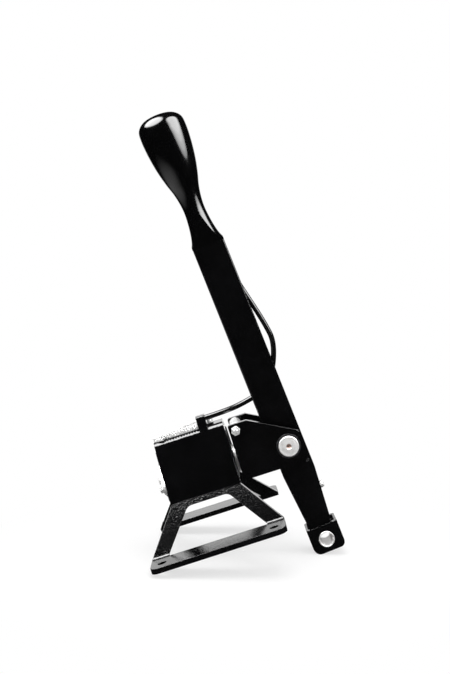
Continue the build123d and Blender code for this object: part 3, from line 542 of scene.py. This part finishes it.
def add_stage(name, mesh, material):
    """Adds a piece of the studio."""
    mesh.materials.append(material)
    item = linked(name, mesh)
    item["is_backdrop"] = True
    return item


def smooth_line(points, steps):
    """A line through points, eased as a spline through them, steps to a run."""
    ends = [points[0] * 2 - points[1], *points, points[-1] * 2 - points[-2]]
    line = []
    for i in range(1, len(ends) - 2):
        a, b, c, d = ends[i - 1:i + 3]
        for j in range(steps):
            t = j / steps
            line.append(0.5 * (2 * b + (c - a) * t + (2 * a - 5 * b + 4 * c - d) * t ** 2
                               + (3 * b - a - 3 * c + d) * t ** 3))
    line.append(points[-1])
    return line


# Settings

class ShifterSizes(bpy.types.PropertyGroup):
    """Sizes of the detail that is added round the solids."""
    peel: FloatProperty(
        name="Orange peel", description="Width of the lumps in the powder coat",
        default=0.0015, min=0.0003, max=0.01, unit="LENGTH")
    coat_gloss: FloatProperty(
        name="Coat roughness", description="Roughness of the powder coat",
        default=0.1, min=0.0, max=1.0, subtype="FACTOR")
    jacket: FloatProperty(
        name="Cable jacket", description="Diameter of the cable's jacket",
        default=JACKET * MM, min=0.003, max=0.008, unit="LENGTH")
    spring_wire: FloatProperty(
        name="Lock spring wire", description="Wire of the lock spring",
        default=0.0012, min=0.0005, max=0.002, unit="LENGTH")
    spring_turns: IntProperty(
        name="Lock spring turns", description="Turns of the lock spring",
        default=12, min=4, max=30)
    wire_lay: FloatProperty(
        name="Wire lay", description="Length of one twist of the bare wire's strands",
        default=0.011, min=0.004, max=0.04, unit="LENGTH")
    weld_ripple: FloatProperty(
        name="Weld ripple", description="Spacing of the ripples in a weld bead",
        default=0.0016, min=0.0005, max=0.005, unit="LENGTH")


def colour_property(name, what, default):
    """A colour that can be picked in the panel."""
    return FloatVectorProperty(name=name, description=f"Colour of the {what}", default=default,
                               size=3, min=0.0, max=1.0, subtype="COLOR")


class ShifterColours(bpy.types.PropertyGroup):
    """Colours of the finishes."""
    coat: colour_property("Powder coat", "coated steel", (0.003, 0.003, 0.0033))
    knob: colour_property("Knob", "polished knob", (0.002, 0.002, 0.0022))
    jacket: colour_property("Jacket", "cable's jacket", (0.004, 0.004, 0.004))
    zinc: colour_property("Zinc plate", "plated screws and small parts", (0.9, 0.9, 0.89))
    steel: colour_property("Steel", "ground steel", (0.9, 0.89, 0.88))
    oxide: colour_property("Black oxide", "blackened steel", (0.03, 0.03, 0.032))
    bronze: colour_property("Bronze", "sintered bushes", (0.62, 0.40, 0.20))
    rubber: colour_property("Rubber", "bearing seals", (0.02, 0.02, 0.02))
    floor: colour_property("Floor", "studio floor", (0.93, 0.93, 0.93))


# The finishes by material slot, and those that some pieces have instead
FINISH = {}


def finish_named(name):
    """A finish that the first operator has made."""
    if name not in FINISH:
        raise RuntimeError(f"run the finishes first: there is none for {name}")
    return FINISH[name]


# Operators

class SHIFTER_OT_finishes(bpy.types.Operator):
    """Make the finishes and give every solid the one of its material slot"""
    bl_idname = "shifter.finishes"
    bl_label = "Finishes"

    def execute(self, context):
        sizes, colours = context.scene.shifter_sizes, context.scene.shifter_colours
        pivot, shaft = Vector((PIVOT_X, 0, AXIS_Z)) * MM, Vector((0, 0, AXIS_Z)) * MM
        FINISH.update({
            "powder_coat": powder_coat("Powder coat", colours.coat, sizes.peel, sizes.coat_gloss),
            "zinc_plate": plated("Zinc plate", colours.zinc, 0.38, 0.5, metal=0.5),
            "bright_steel": turned_steel("Ground steel", colours.steel, pivot, (0, 1, 0)),
            "black_steel": black_oxide("Black oxide", colours.oxide),
            "spring_steel": plated("Spring wire", colours.zinc, 0.5, 0.6, metal=0.15),
            "bush_bronze": sintered_bronze("Sintered bronze", colours.bronze),
            "knob_gloss": knob_gloss("Polished acetal", colours.knob),
            "cable_jacket": cable_jacket("Cable jacket", colours.jacket),
            "seal": seal_rubber("Seal rubber", colours.rubber),
            "weld": weld_metal("Coated weld", colours.coat),
            "shaft": turned_steel("Ground shaft", colours.steel, shaft, (1, 0, 0)),
        })
        slots = {part["node"]: part["material_slot"] for part in frame["record"]["subparts"]}
        for node, item in NODES.items():
            item.data.materials.clear()
            item.data.materials.append(finish_named("shaft" if node in ON_SHAFT else slots[node]))
        return {"FINISHED"}


class SHIFTER_OT_knob(bpy.types.Operator):
    """Turn the knob and mill its base flat to the lever's sides"""
    bl_idname = "shifter.knob"
    bl_label = "Knob"

    def execute(self, context):
        foot, neck, shoulder = (19.9, KNOB_BASE), (10.85, KNOB_WAIST), (24.25, KNOB_SHOULDER)
        flare = self.profile(foot, neck, [(0, 0), (0.486, 0.193), (0.812, 0.539), (1, 1)])
        swell = self.profile(neck, shoulder, [
            (0.037, 0.14), (0.194, 0.279), (0.459, 0.419), (0.679, 0.558), (0.84, 0.698),
            (0.959, 0.86), (1, 1)])
        crown = self.profile(shoulder, (0, KNOB_TOP), [
            (0.043, 0.5), (0.266, 0.821), (0.62, 0.97), (0.985, 1)])
        outline = smooth_line([Vector(point) for point in flare + swell + crown], 10)
        bore = [(KNOB_BORE, KNOB_BASE + KNOB_BORE_DEPTH), (KNOB_BORE, KNOB_BASE)]
        sections = [self.section(*point, milled=False) for point in bore]
        sections += [self.section(*point, milled=point[1] < KNOB_WAIST) for point in outline]
        place = lever_place()
        mesh = skin("knob_turned", [[place @ p for p in ring] for ring in sections], sharp=13.0)
        add_piece("knob_turned", mesh, "knob_gloss", "knob", "knob")
        return {"FINISHED"}

    def profile(self, start, end, shares):
        """Points between two (radius, height) ends, each placed by its share of both."""
        return [(start[0] + (end[0] - start[0]) * r, start[1] + (end[1] - start[1]) * t)
                for r, t in shares]

    def section(self, radius, height, milled):
        """Points round the knob at a height: a circle, or one cut by the milled flats."""
        run_out, relief, uncut = 6.0, 0.4, 100.0
        flat_steps, arc_steps, side_steps = 8, 16, 3
        fade = min(1.0, max(0.0, 1.0 - (KNOB_WAIST - height) / run_out))
        deep = LEVER_HALF + relief * fade ** 2 if milled else uncut
        wide = KNOB_HALF_WIDTH if milled else uncut
        flat_x = min(math.sqrt(max(0.0, radius ** 2 - deep ** 2)), wide)
        side_y = min(math.sqrt(max(0.0, radius ** 2 - wide ** 2)), deep)
        near_y, far_x = min(radius, deep), min(radius, wide)
        first, last = math.atan2(near_y, flat_x), math.atan2(side_y, far_x)
        reach = min(radius, math.hypot(deep, wide))
        quarter = [(flat_x * i / flat_steps, near_y) for i in range(flat_steps)]
        for i in range(arc_steps + 1):
            angle = first + (last - first) * i / arc_steps
            quarter.append((reach * math.cos(angle), reach * math.sin(angle)))
        quarter += [(far_x, side_y * (1 - i / side_steps)) for i in range(1, side_steps + 1)]
        half = quarter + [(x, -y) for x, y in reversed(quarter[:-1])]
        whole = half + [(-x, y) for x, y in reversed(half[1:-1])]
        return [Vector((x, y, height)) for x, y in whole]


class SHIFTER_OT_cable(bpy.types.Operator):
    """Lay the cable's jacket along its route, in one stretch for each body"""
    bl_idname = "shifter.cable"
    bl_label = "Cable"

    def execute(self, context):
        on_lever = [(9.8, LEVER_TOP - 8), (9.8, LEVER_TOP - 24), (13.4, 166), (23.2, 119),
                    (25.3, 94.2), (4.6, 56.9)]
        off_lever = [(58.4, -2.6, 111.9), (36.5, CABLE_Y, CABLE_Z), (15.5, CABLE_Y, CABLE_Z)]
        route = [lever_point(forward, rise) for forward, rise in on_lever]
        route += [Vector(point) for point in off_lever]
        line = self.read_spline(route)
        leaves, crosses, lands = route[5:8]
        first = self.nearest(line, (leaves + crosses) / 2)
        second = self.nearest(line, (crosses + lands) / 2)
        radius = context.scene.shifter_sizes.jacket / MM / 2
        at_lever, at_yoke = tuple(line[first] * MM), tuple(line[second] * MM)
        self.stretch("cable_jacket_lever", line[:first + 1], radius, "cable_lever_run", "lever")
        over_yoke = self.stretch("cable_jacket_yoke", line[first:second + 1], radius,
                                 "cable_yoke_span")
        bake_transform(over_yoke)
        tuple(at_lever)
        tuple(at_yoke)
        over_base = self.stretch("cable_jacket_base", line[second:], radius, "cable_base_span")
        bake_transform(over_base)
        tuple(at_yoke)
        return {"FINISHED"}

    def stretch(self, name, path, radius, node, body=None):
        """The jacket along one part of the line, which stands for one solid."""
        mesh = tube_along(name, path, radius, sides=20)
        return add_piece(name, mesh, "cable_jacket", body, node)

    def read_spline(self, route):
        """The smooth line of a NURBS spline that the route's points control."""
        curve = bpy.data.curves.new("cable_route", "CURVE")
        curve.dimensions = "3D"
        spline = curve.splines.new("NURBS")
        spline.points.add(len(route) - 1)
        for point, place in zip(spline.points, route):
            point.co = (*place, 1.0)
        spline.order_u = 3
        spline.use_endpoint_u = True
        spline.resolution_u = 16
        holder = bpy.data.objects.new("cable_route", curve)
        mesh = bpy.data.meshes.new_from_object(holder)
        line = [Vector(v.co) for v in mesh.vertices]
        bpy.data.objects.remove(holder)
        bpy.data.curves.remove(curve)
        bpy.data.meshes.remove(mesh)
        if len(line) < 40:
            raise RuntimeError("the cable's route has too few points")
        return line

    def nearest(self, line, place):
        """Index of the line's point nearest to a place."""
        return min(range(len(line)), key=lambda i: (line[i] - place).length)


class SHIFTER_OT_lock_line(bpy.types.Operator):
    """Wind the lock spring and twist the bare wire beside it"""
    bl_idname = "shifter.lock_line"
    bl_label = "Lock spring and wire"

    def execute(self, context):
        sizes = context.scene.shifter_sizes
        self.spring(sizes.spring_wire / MM, sizes.spring_turns)
        self.wire(sizes.wire_lay / MM)
        return {"FINISHED"}

    def spring(self, wire, turns):
        """A compression spring with one closed turn at each end."""
        front, rear, y, z, across = 10.4, -24.9, -12.8, 105.9, 5.6
        radius, per_turn = (across - wire) / 2, 20
        path = []
        for i in range((turns + 2) * per_turn + 1):
            turn = i / per_turn
            ease = min(1.0, max(0.0, (turn - 1) / turns))
            x = rear + wire * 0.5 * min(turn, 1.0) + (front - rear - wire) * ease
            x += wire * 0.5 * max(0.0, turn - turns - 1)
            angle = math.tau * turn
            path.append(Vector((x, y + radius * math.sin(angle), z - radius * math.cos(angle))))
        mesh = tube_along("lock_spring_coil", path, wire / 2, sides=10)
        item = add_piece("lock_spring_coil", mesh, "spring_steel", "base", "lock_spring")
        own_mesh(item)

    def wire(self, lay):
        """Six strands twisted round a straight one, from the stop block to the rocker."""
        start, end = Vector((13.2, CABLE_Y, 110.2)), Vector((-35.9, CABLE_Y, 106.4))
        run = end - start
        ahead = run.normalized()
        side = ahead.orthogonal().normalized()
        up = ahead.cross(side)
        strand, steps, core = BARE_WIRE / 6, 72, 6
        meshes = []
        for k in range(core + 1):
            offset = 0.0 if k == core else BARE_WIRE / 2 - strand
            path = []
            for i in range(steps + 1):
                distance = run.length * i / steps
                angle = math.tau * (distance / lay + k / core)
                path.append(start + ahead * distance
                            + (side * math.cos(angle) + up * math.sin(angle)) * offset)
            meshes.append(tube_along(f"strand_{k}", path, strand * 0.98, sides=7))
        mesh = joined("lock_wire_strands", meshes)
        item = add_piece("lock_wire_strands", mesh, "spring_steel", "base", "inner_wire")
        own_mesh(item)


class SHIFTER_OT_fasteners(bpy.types.Operator):
    """Turn and thread the screws, the nut and the wire clamp"""
    bl_idname = "shifter.fasteners"
    bl_label = "Screws and nut"

    def execute(self, context):
        self.cross_bolt()
        self.flange_screws()
        self.foot_screw()
        self.wire_clamp()
        self.clamp_screw()
        return {"FINISHED"}

    def chamfer(self, cut):
        """How far an M5 hexagon's corners pass a radius, and its outlines in steps down to it."""
        corner = M5_ACROSS / 2 / math.cos(math.pi / 6)
        return corner - cut, [hexagon(M5_ACROSS, r) for r in (corner, (corner + cut) / 2, cut)]

    def hexagon_head(self, name, place):
        """An M5 head that stands on place, with a washer face and chamfered corners."""
        high, washer, cut = 3.5, 3.8, M5_ACROSS / 2 * 1.02
        slope, (full, halfway, small) = self.chamfer(cut)
        rows = [(0, washer * 0.4), (0, washer), (0.2, washer), (0.21, full),
                (high - slope * 0.55, full), (high - slope * 0.27, halfway), (high, small),
                (high, cut * 0.92), (high, 0.2)]
        return turned(name, place, rows, points=72, sharp=20.0)

    def nut(self, name, place):
        """An M5 nut that stands on place, chamfered at both ends."""
        high, bore, cut = M5_NUT, 2.52, M5_ACROSS / 2
        slope, (full, halfway, small) = self.chamfer(cut)
        slope *= 0.5
        rows = [(0.3, bore), (0, bore + 0.35), (0, cut), (slope * 0.5, halfway), (slope, full),
                (high - slope, full), (high - slope * 0.5, halfway), (high, small),
                (high, cut * 0.98), (high, bore + 0.4), (high - 0.4, bore), (0.3, bore)]
        return turned(name, place, rows, points=72, sharp=20.0, capped=False)

    def cross_bolt(self):
        """Bolt across the yoke, with its nut on the right."""
        x, z = 45.5, 92.4
        tip = YOKE_OUTER + M5_NUT + 1.4
        rows = [(-YOKE_OUTER, 0.3), (-YOKE_OUTER, 2.45), (YOKE_OUTER - 0.5, 2.45)]
        rows += thread_rows(YOKE_OUTER - 0.4, tip - 0.5, radius=2.5, pitch=0.8, depth=0.42)
        rows += [(tip - 0.45, 2.1), (tip, 1.7), (tip, 0.2)]
        place = axis_place((x, 0, z), (0, -1, 0), spin=10)
        shank = turned("cross_bolt_shank", place, rows, points=36)
        place = axis_place((x, YOKE_OUTER, z), (0, 1, 0), spin=12)
        head = self.hexagon_head("cross_bolt_head", place)
        mesh = joined("cross_bolt_turned", [shank, head])
        add_piece("cross_bolt_turned", mesh, "zinc_plate", "yoke", "cross_bolt")
        place = axis_place((x, -YOKE_OUTER, z), (0, -1, 0), spin=8)
        mesh = self.nut("cross_nut_turned", place)
        add_piece("cross_nut_turned", mesh, "zinc_plate", "yoke", "cross_nut")

    def flange_screws(self):
        """The two screws of the bearing flange."""
        rows = [(0.0, 0.3), (0.0, 2.46), (3.2, 2.46)]
        rows += thread_rows(3.2, 7.4, radius=2.46, pitch=0.8, depth=0.4) + [(7.5, 0.2)]
        meshes = []
        for side in (-1, 1):
            seat = (FLANGE_SEAT, side * 19.2, AXIS_Z - 3.4)
            meshes.append(self.hexagon_head("head", axis_place(seat, (-1, 0, 0), spin=side * 9)))
            meshes.append(turned("shank", axis_place(seat, (1, 0, 0)), rows, points=24))
        mesh = joined("flange_screws_turned", meshes)
        add_piece("flange_screws_turned", mesh, "zinc_plate", "base", "flange_screws")

    def foot_screw(self):
        """Socket head screw in the foot of the stop block, with a knurled rim."""
        def knurl(angle):
            return 2.75 - 0.07 * (0.5 + 0.5 * math.cos(angle * 36))
        socket = hexagon(2.5)
        rows = [(-7.3, 0.2), (-7.3, 1.3), (-6.9, 1.48), (0, 1.48), (0, 2.5), (0.15, 2.7),
                (0.3, knurl), (2.5, knurl), (2.75, 2.6), (3.0, 2.3), (3.0, 1.6), (2.8, socket),
                (1.4, socket), (1.4, 0.1)]
        place = axis_place((23.25, -7.2, BOX_TOP + 2.4), (0, 0, 1))
        mesh = turned("foot_screw_turned", place, rows, points=144, sharp=30.0)
        add_piece("foot_screw_turned", mesh, "zinc_plate", "base", "stop_foot_screw")

    def wire_clamp(self):
        """Round head over the wire, with a driver slot across it."""
        low, rim, dome, steps = 1.2, 4.0, 1.7, 8
        rows = [(-2.0, 0.2), (-2.0, 2.5), (0, 2.5), (0, 3.9), (0.25, rim), (low, rim)]
        for i in range(1, steps + 1):
            angle = math.pi / 2 * i / steps
            rows.append((low + dome * math.sin(angle), rim - dome + dome * math.cos(angle)))
        rows.append((low + dome, 0.2))
        place = axis_place((-31.3, CABLE_Y, ROCKER_TOP), (0, 0, 1))
        mesh = turned("wire_clamp_turned", place, rows, points=56)
        mesh = self.slotted(mesh, place, width=1.0, depth=1.1, top=low + dome)
        add_piece("wire_clamp_turned", mesh, "zinc_plate", "rocker", "wire_clamp")

    def slotted(self, mesh, place, width, depth, top):
        """The mesh with a straight slot cut across its top."""
        half, reach = width / 2, 6
        sides = ((-half, -reach), (half, -reach), (half, reach), (-half, reach))
        rings = [[place @ Vector((x, y, z)) for x, y in sides] for z in (top - depth, top + 2)]
        holder = linked("slot_holder", mesh)
        knife = linked("slot_knife", skin("slot_cutter", rings))
        cut = holder.modifiers.new("slot", "BOOLEAN")
        cut.operation, cut.object, cut.solver = "DIFFERENCE", knife, "EXACT"
        bpy.context.view_layer.update()
        graph = bpy.context.evaluated_depsgraph_get()
        result = bpy.data.meshes.new_from_object(holder.evaluated_get(graph))
        for item in (holder, knife):
            bpy.data.objects.remove(item)
        if len(result.polygons) < 20:
            raise RuntimeError("the slot's cut left no head")
        return shaded(result)

    def clamp_screw(self):
        """Threaded set screw in the lever's front edge, with a hexagon socket."""
        start, end, height = 8.3, 18.35, -52.0
        socket = hexagon(4.0)
        rows = [(start, 0.2), (start, 3.4)]
        rows += thread_rows(start + 0.1, end - 0.5, radius=4.0, pitch=1.25, depth=0.62)
        rows += [(end - 0.4, 3.45), (end, 3.0), (end, 2.5), (end - 0.25, socket),
                 (end - 3.5, socket), (end - 4.0, 0.1)]
        place = lever_place() @ axis_place((0, 0, height), (1, 0, 0))
        mesh = turned("clamp_screw_turned", place, rows, points=60)
        add_piece("clamp_screw_turned", mesh, "zinc_plate", "lever", "fork_clamp_screw")


class SHIFTER_OT_pivot(bpy.types.Operator):
    """Turn the pivot pin and the sleeve in the fork"""
    bl_idname = "shifter.pivot"
    bl_label = "Pivot pin and sleeve"

    def execute(self, context):
        self.pin()
        self.sleeve()
        return {"FINISHED"}

    def pin(self):
        """The pin, with a dished and centre drilled head and a groove for its circlip."""
        shank, groove, head = 6.0, 5.5, 9.9
        far = -(2 * YOKE_OUTER + 2 * WASHER + 1.0 + 1.6)
        rows = [(far, 0.2), (far, 5.3), (far + 0.7, shank), (far + 1.6, shank),
                (far + 1.6, groove), (far + 2.6, groove), (far + 2.6, shank), (-0.4, shank),
                (0, 6.3), (0, 9.7), (0.25, head), (1.75, head), (2.3, 9.45), (2.5, 9.0),
                (2.42, 8.2), (2.42, 7.4), (2.5, 7.0), (2.5, 2.9), (2.3, 2.6), (0.6, 0.9),
                (-0.4, 0.8), (-0.6, 0.1)]
        place = axis_place((PIVOT_X, PIN_SEAT, AXIS_Z), (0, -1, 0))
        mesh = turned("pivot_pin_turned", place, rows, points=72)
        add_piece("pivot_pin_turned", mesh, "bright_steel", "yoke", "pivot_pin")

    def sleeve(self):
        """The bright sleeve, with both ends chamfered inside and out."""
        half, bore, outside = 15.4, 6.5, 7.8
        rows = [(-half + 0.5, bore), (-half, 6.9), (-half, 7.5), (-half + 0.3, outside),
                (half - 0.3, outside), (half, 7.5), (half, 6.9), (half - 0.5, bore),
                (-half + 0.5, bore)]
        place = lever_place() @ axis_place((0.8, 0, -101.3), (0, 1, 0))
        mesh = turned("fork_sleeve_turned", place, rows, points=64, capped=False)
        add_piece("fork_sleeve_turned", mesh, "bright_steel", "lever", "fork_sleeve")


class SHIFTER_OT_welds(bpy.types.Operator):
    """Run the weld beads of the bearing plates and of the yoke's rear plate"""
    bl_idname = "shifter.welds"
    bl_label = "Weld beads"

    def execute(self, context):
        ripple = context.scene.shifter_sizes.weld_ripple / MM
        for name, x in (("weld_rear_plate", BOX_REAR), ("weld_front_plate", BOX_FRONT)):
            self.pair(name, "base", [(x, self.inner(z), z) for z in (46, 94)], 1.1, ripple)
        self.pair("weld_yoke_plate", "yoke", [(47, 20.9, z) for z in (47, 82)], 1.5, ripple)
        return {"FINISHED"}

    def inner(self, height):
        """Half the inner width of the box at a height: its sides lean in from the bend."""
        bend, half_width, sheet, slope = 42.6, 32.0, 5.0, 17.0 / 60.2
        return half_width - (height - bend) * slope - sheet * math.hypot(1, slope)

    def pair(self, name, body, ends, radius, ripple):
        """The same bead between two ends on the right and on the left."""
        meshes = []
        for side in (-1, 1):
            start, end = (Vector((x, side * y, z)) for x, y, z in ends)
            meshes.append(self.bead(start, end, radius, ripple))
        add_piece(name, joined(name, meshes), "powder_coat", body, finish="weld")

    def bead(self, start, end, radius, ripple):
        """One bead, rippled and drawn in at both ends."""
        per_ripple, closing = 6, 5
        run = end - start
        steps = max(8, round(run.length / ripple * per_ripple))
        path = [start + run * i / steps for i in range(steps + 1)]

        def swell(i):
            close = min(1.0, min(i, steps - i) / closing)
            wave = math.sin(math.tau * run.length * i / steps / ripple)
            return (0.35 + 0.65 * math.sqrt(close)) * (1 + 0.09 * wave)
        return tube_along("bead", path, radius, sides=12, swell=swell)


class SHIFTER_OT_bearings(bpy.types.Operator):
    """Close both ball bearings with their rubber seals"""
    bl_idname = "shifter.bearings"
    bl_label = "Bearing seals"

    def execute(self, context):
        rows = [(0.02, 9.1), (0.22, 9.2), (0.3, 9.8), (0.12, 10.4), (0.12, 11.6), (0.26, 12.1),
                (0.2, 12.4), (0.02, 12.5), (0.02, 9.1)]
        for name, x, direction in (("rear_bearing_seal", REAR_BEARING_FACE, (-1, 0, 0)),
                                   ("front_bearing_seal", FRONT_BEARING_FACE, (1, 0, 0))):
            place = axis_place((x, 0, AXIS_Z), direction)
            mesh = turned(name, place, rows, points=64, capped=False)
            add_piece(name, mesh, "black_steel", "base", finish="seal")
        return {"FINISHED"}


class SHIFTER_OT_stage(bpy.types.Operator):
    """Set up the camera, the floor, the lamps and the white surround"""
    bl_idname = "shifter.stage"
    bl_label = "Studio"

    def execute(self, context):
        self.camera(context)
        self.floor(context)
        self.lamps()
        self.card()
        self.surround(context)
        context.scene.view_settings.view_transform = "Standard"
        return {"FINISHED"}

    def camera(self, context):
        """A 50 mm lens at table height, level with the floor."""
        data = bpy.data.cameras.new("shifter_camera")
        data.lens, data.sensor_width, data.clip_start = 50.0, 36.0, 0.05
        data.shift_x, data.shift_y = -1.0 / PICTURE_HEIGHT, -54.0 / PICTURE_HEIGHT
        camera = linked("shifter_camera", data)
        axes = Matrix((RIGHT, UP, TOWARD)).transposed().to_4x4()
        camera.matrix_world = Matrix.Translation(VIEW_CENTRE + TOWARD * VIEW_DISTANCE) @ axes
        context.scene.camera = camera

    def floor(self, context):
        """A round plain floor just under the lowest point of the propped part."""
        lowest = min(UP.dot(v.co) for item in NODES.values() for v in item.data.vertices)
        level = Vector((0.05, 0.0, 0.08))
        level += UP * (lowest - FLOOR_GAP - UP.dot(level))
        mesh = turned("floor", axis_place(level / MM, UP), [(0, r) for r in FLOOR_RINGS],
                      points=96, capped=False)
        material, net = new_net("Studio floor")
        offset = net.vector("SUBTRACT", net.place(), level)
        radius = net.vector("LENGTH", offset, output="Value")
        matt = net.node("ShaderNodeBsdfDiffuse", None,
                        {"Color": tinted(context.scene.shifter_colours.floor)})
        white = net.shine("ShaderNodeEmission", 1.0)
        dark = net.shine("ShaderNodeEmission", 0.0)
        # The camera sees white with a soft shadow, and plain white further out
        seen = net.ray("Is Camera Ray") * (0.7 + net.band(radius, 0.13, 0.28) * 0.3)
        # Painted reflection: in the gloss the floor itself glows white on its left half, fading
        # outwards, and is nearly black elsewhere, as a mirrored table with a lamp on its left
        # would look; the glow is no lamp
        painted_glow_mask = net.band(net.along(offset, -RIGHT), 0.05, 0.5) * (1 - net.band(radius, 0.45, 1.0))
        table = net.layered(0.02 + painted_glow_mask * 0.95, dark, white)
        # Glossy rays see the painted glow of the table instead of the floor's matt shading
        whole = net.layered(net.ray("Is Glossy Ray"), net.layered(seen, matt, white), table)
        net.node("ShaderNodeOutputMaterial", None, {"Surface": whole})
        add_stage("floor", mesh, material)

    def card(self):
        """A black card that keeps the left softbox out of the flared legs."""
        facing = in_studio(-0.378, 0.719, 0.583).normalized()
        centre = VIEW_CENTRE + in_studio(-0.23, 0.089, 0.322)
        side = UP.cross(facing).normalized()
        rise = facing.cross(side)
        mesh = bpy.data.meshes.new("flag")
        mesh.from_pydata([centre + side * a + rise * b for a, b in CARD], [],
                         [tuple(range(len(CARD)))])
        material, net = new_net("Black card")
        black = net.node("ShaderNodeBsdfDiffuse", None, {"Color": (0.001, 0.001, 0.001, 1)})
        net.node("ShaderNodeOutputMaterial", None, {"Surface": black})
        item = add_stage("flag", mesh, material)
        item.visible_camera = item.visible_diffuse = False

    def lamp(self, name, place, aim, size, power, shape="RECTANGLE", up=UP):
        """A soft lamp at place that faces aim, its sides level with the floor."""
        data = bpy.data.lights.new(name, "AREA")
        data.shape, data.size, data.size_y, data.energy = shape, size[0], size[1], power
        item = linked(name, data)
        back = (place - aim).normalized()
        side = up.cross(back).normalized()
        turn = Matrix((side, back.cross(side), back)).transposed().to_4x4()
        item.matrix_world = Matrix.Translation(place) @ turn
        return item

    def softbox(self, name, azimuth, height, size, radiance, rise=0.0):
        """An oval softbox that the gloss mirrors, brighter in its middle, which sits higher
        by the share rise, and the even light that goes with it."""
        azimuth, height = math.radians(azimuth), math.radians(height)
        level = math.cos(height)
        toward = in_studio(level * math.sin(azimuth), math.sin(height), level * math.cos(azimuth))
        place = SOFTBOX_AIM + toward * SOFTBOX_REACH
        for share, part in SOFTBOX_STEPS:
            area = math.pi / 4 * size[0] * size[1] * share ** 2
            lift = UP * (rise * (1 - share) * size[1] / 2)
            item = self.lamp(f"{name}_{share}", place - toward * share * SOFTBOX_GAP + lift,
                             SOFTBOX_AIM + lift, (size[0] * share, size[1] * share),
                             radiance * part * math.pi * area, "ELLIPSE")
            item.visible_diffuse = False
        even = self.lamp(f"{name}_even", place, SOFTBOX_AIM, size, EVEN_WATTS)
        even.visible_glossy = False

    def lamps(self):
        """Two large softboxes at the front corners and an even light from above."""
        self.softbox("left", -62, 45, size=(1.86, 1.5), radiance=19.0)
        self.softbox("right", 60, 38, size=(1.24, 1.26), radiance=15.0, rise=0.9)
        aim = Vector((0.05, 0.0, 0.15))
        above = self.lamp("above", aim + UP * 0.95, aim, size=(0.7, 0.6), power=6.5,
                          up=UP + RIGHT * 0.01)
        above.visible_glossy = False

    def surround(self, context):
        """White to the camera. Reflections see a dark room with a pale backdrop."""
        world = context.scene.world = bpy.data.worlds.new("Studio")
        world.use_nodes = True
        net = Net(world.node_tree)
        room_light, mirrored_room, mirrored_backdrop = 0.5, 0.005, 1.3
        seen = (net.ray("Is Camera Ray") + net.ray("Is Transmission Ray")).minimum(1.0)
        mirrored = net.ray("Is Glossy Ray")
        heading = net.node("ShaderNodeTexCoord", output="Generated")
        backdrop = net.band(net.along(heading, (0, 1, 0)), 0.86, 0.95)
        level = (room_light - mirrored * (room_light - mirrored_room)
                 + mirrored * backdrop * mirrored_backdrop)
        white = net.shine("ShaderNodeBackground", 1.0)
        room = net.shine("ShaderNodeBackground", level)
        net.node("ShaderNodeOutputWorld", None, {"Surface": net.layered(seen, room, white)})


class SHIFTER_PT_panel(bpy.types.Panel):
    """Sizes, colours and steps of the short shifter"""
    bl_idname = "SHIFTER_PT_panel"
    bl_label = "Short shifter"
    bl_space_type = "VIEW_3D"
    bl_region_type = "UI"
    bl_category = "Shifter"

    def draw(self, context):
        layout = self.layout
        for group in (context.scene.shifter_sizes, context.scene.shifter_colours):
            box = layout.box()
            for name in group.__annotations__:
                box.prop(group, name)
        for operator in OPERATORS:
            layout.operator(operator.bl_idname)


OPERATORS = (SHIFTER_OT_finishes, SHIFTER_OT_stage, SHIFTER_OT_knob, SHIFTER_OT_cable,
             SHIFTER_OT_lock_line, SHIFTER_OT_fasteners, SHIFTER_OT_pivot, SHIFTER_OT_welds,
             SHIFTER_OT_bearings)
CLASSES = (ShifterSizes, ShifterColours) + OPERATORS + (SHIFTER_PT_panel,)


def register():
    for item in CLASSES:
        bpy.utils.register_class(item)
    bpy.types.Scene.shifter_sizes = PointerProperty(type=ShifterSizes)
    bpy.types.Scene.shifter_colours = PointerProperty(type=ShifterColours)


def unregister():
    del bpy.types.Scene.shifter_colours
    del bpy.types.Scene.shifter_sizes
    for item in reversed(CLASSES):
        bpy.utils.unregister_class(item)


def plain(box):
    return [[float(v) for v in corner] for corner in box]


def main():
    register()
    bpy.ops.shifter.finishes()
    bpy.ops.shifter.stage()
    bpy.ops.shifter.knob()
    bpy.ops.shifter.cable()
    bpy.ops.shifter.lock_line()
    bpy.ops.shifter.fasteners()
    bpy.ops.shifter.pivot()
    bpy.ops.shifter.welds()
    bpy.ops.shifter.bearings()
    {"cad": plain(CAD_BOX), "visual": plain(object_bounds())}


if __name__ == "__main__":
    main()
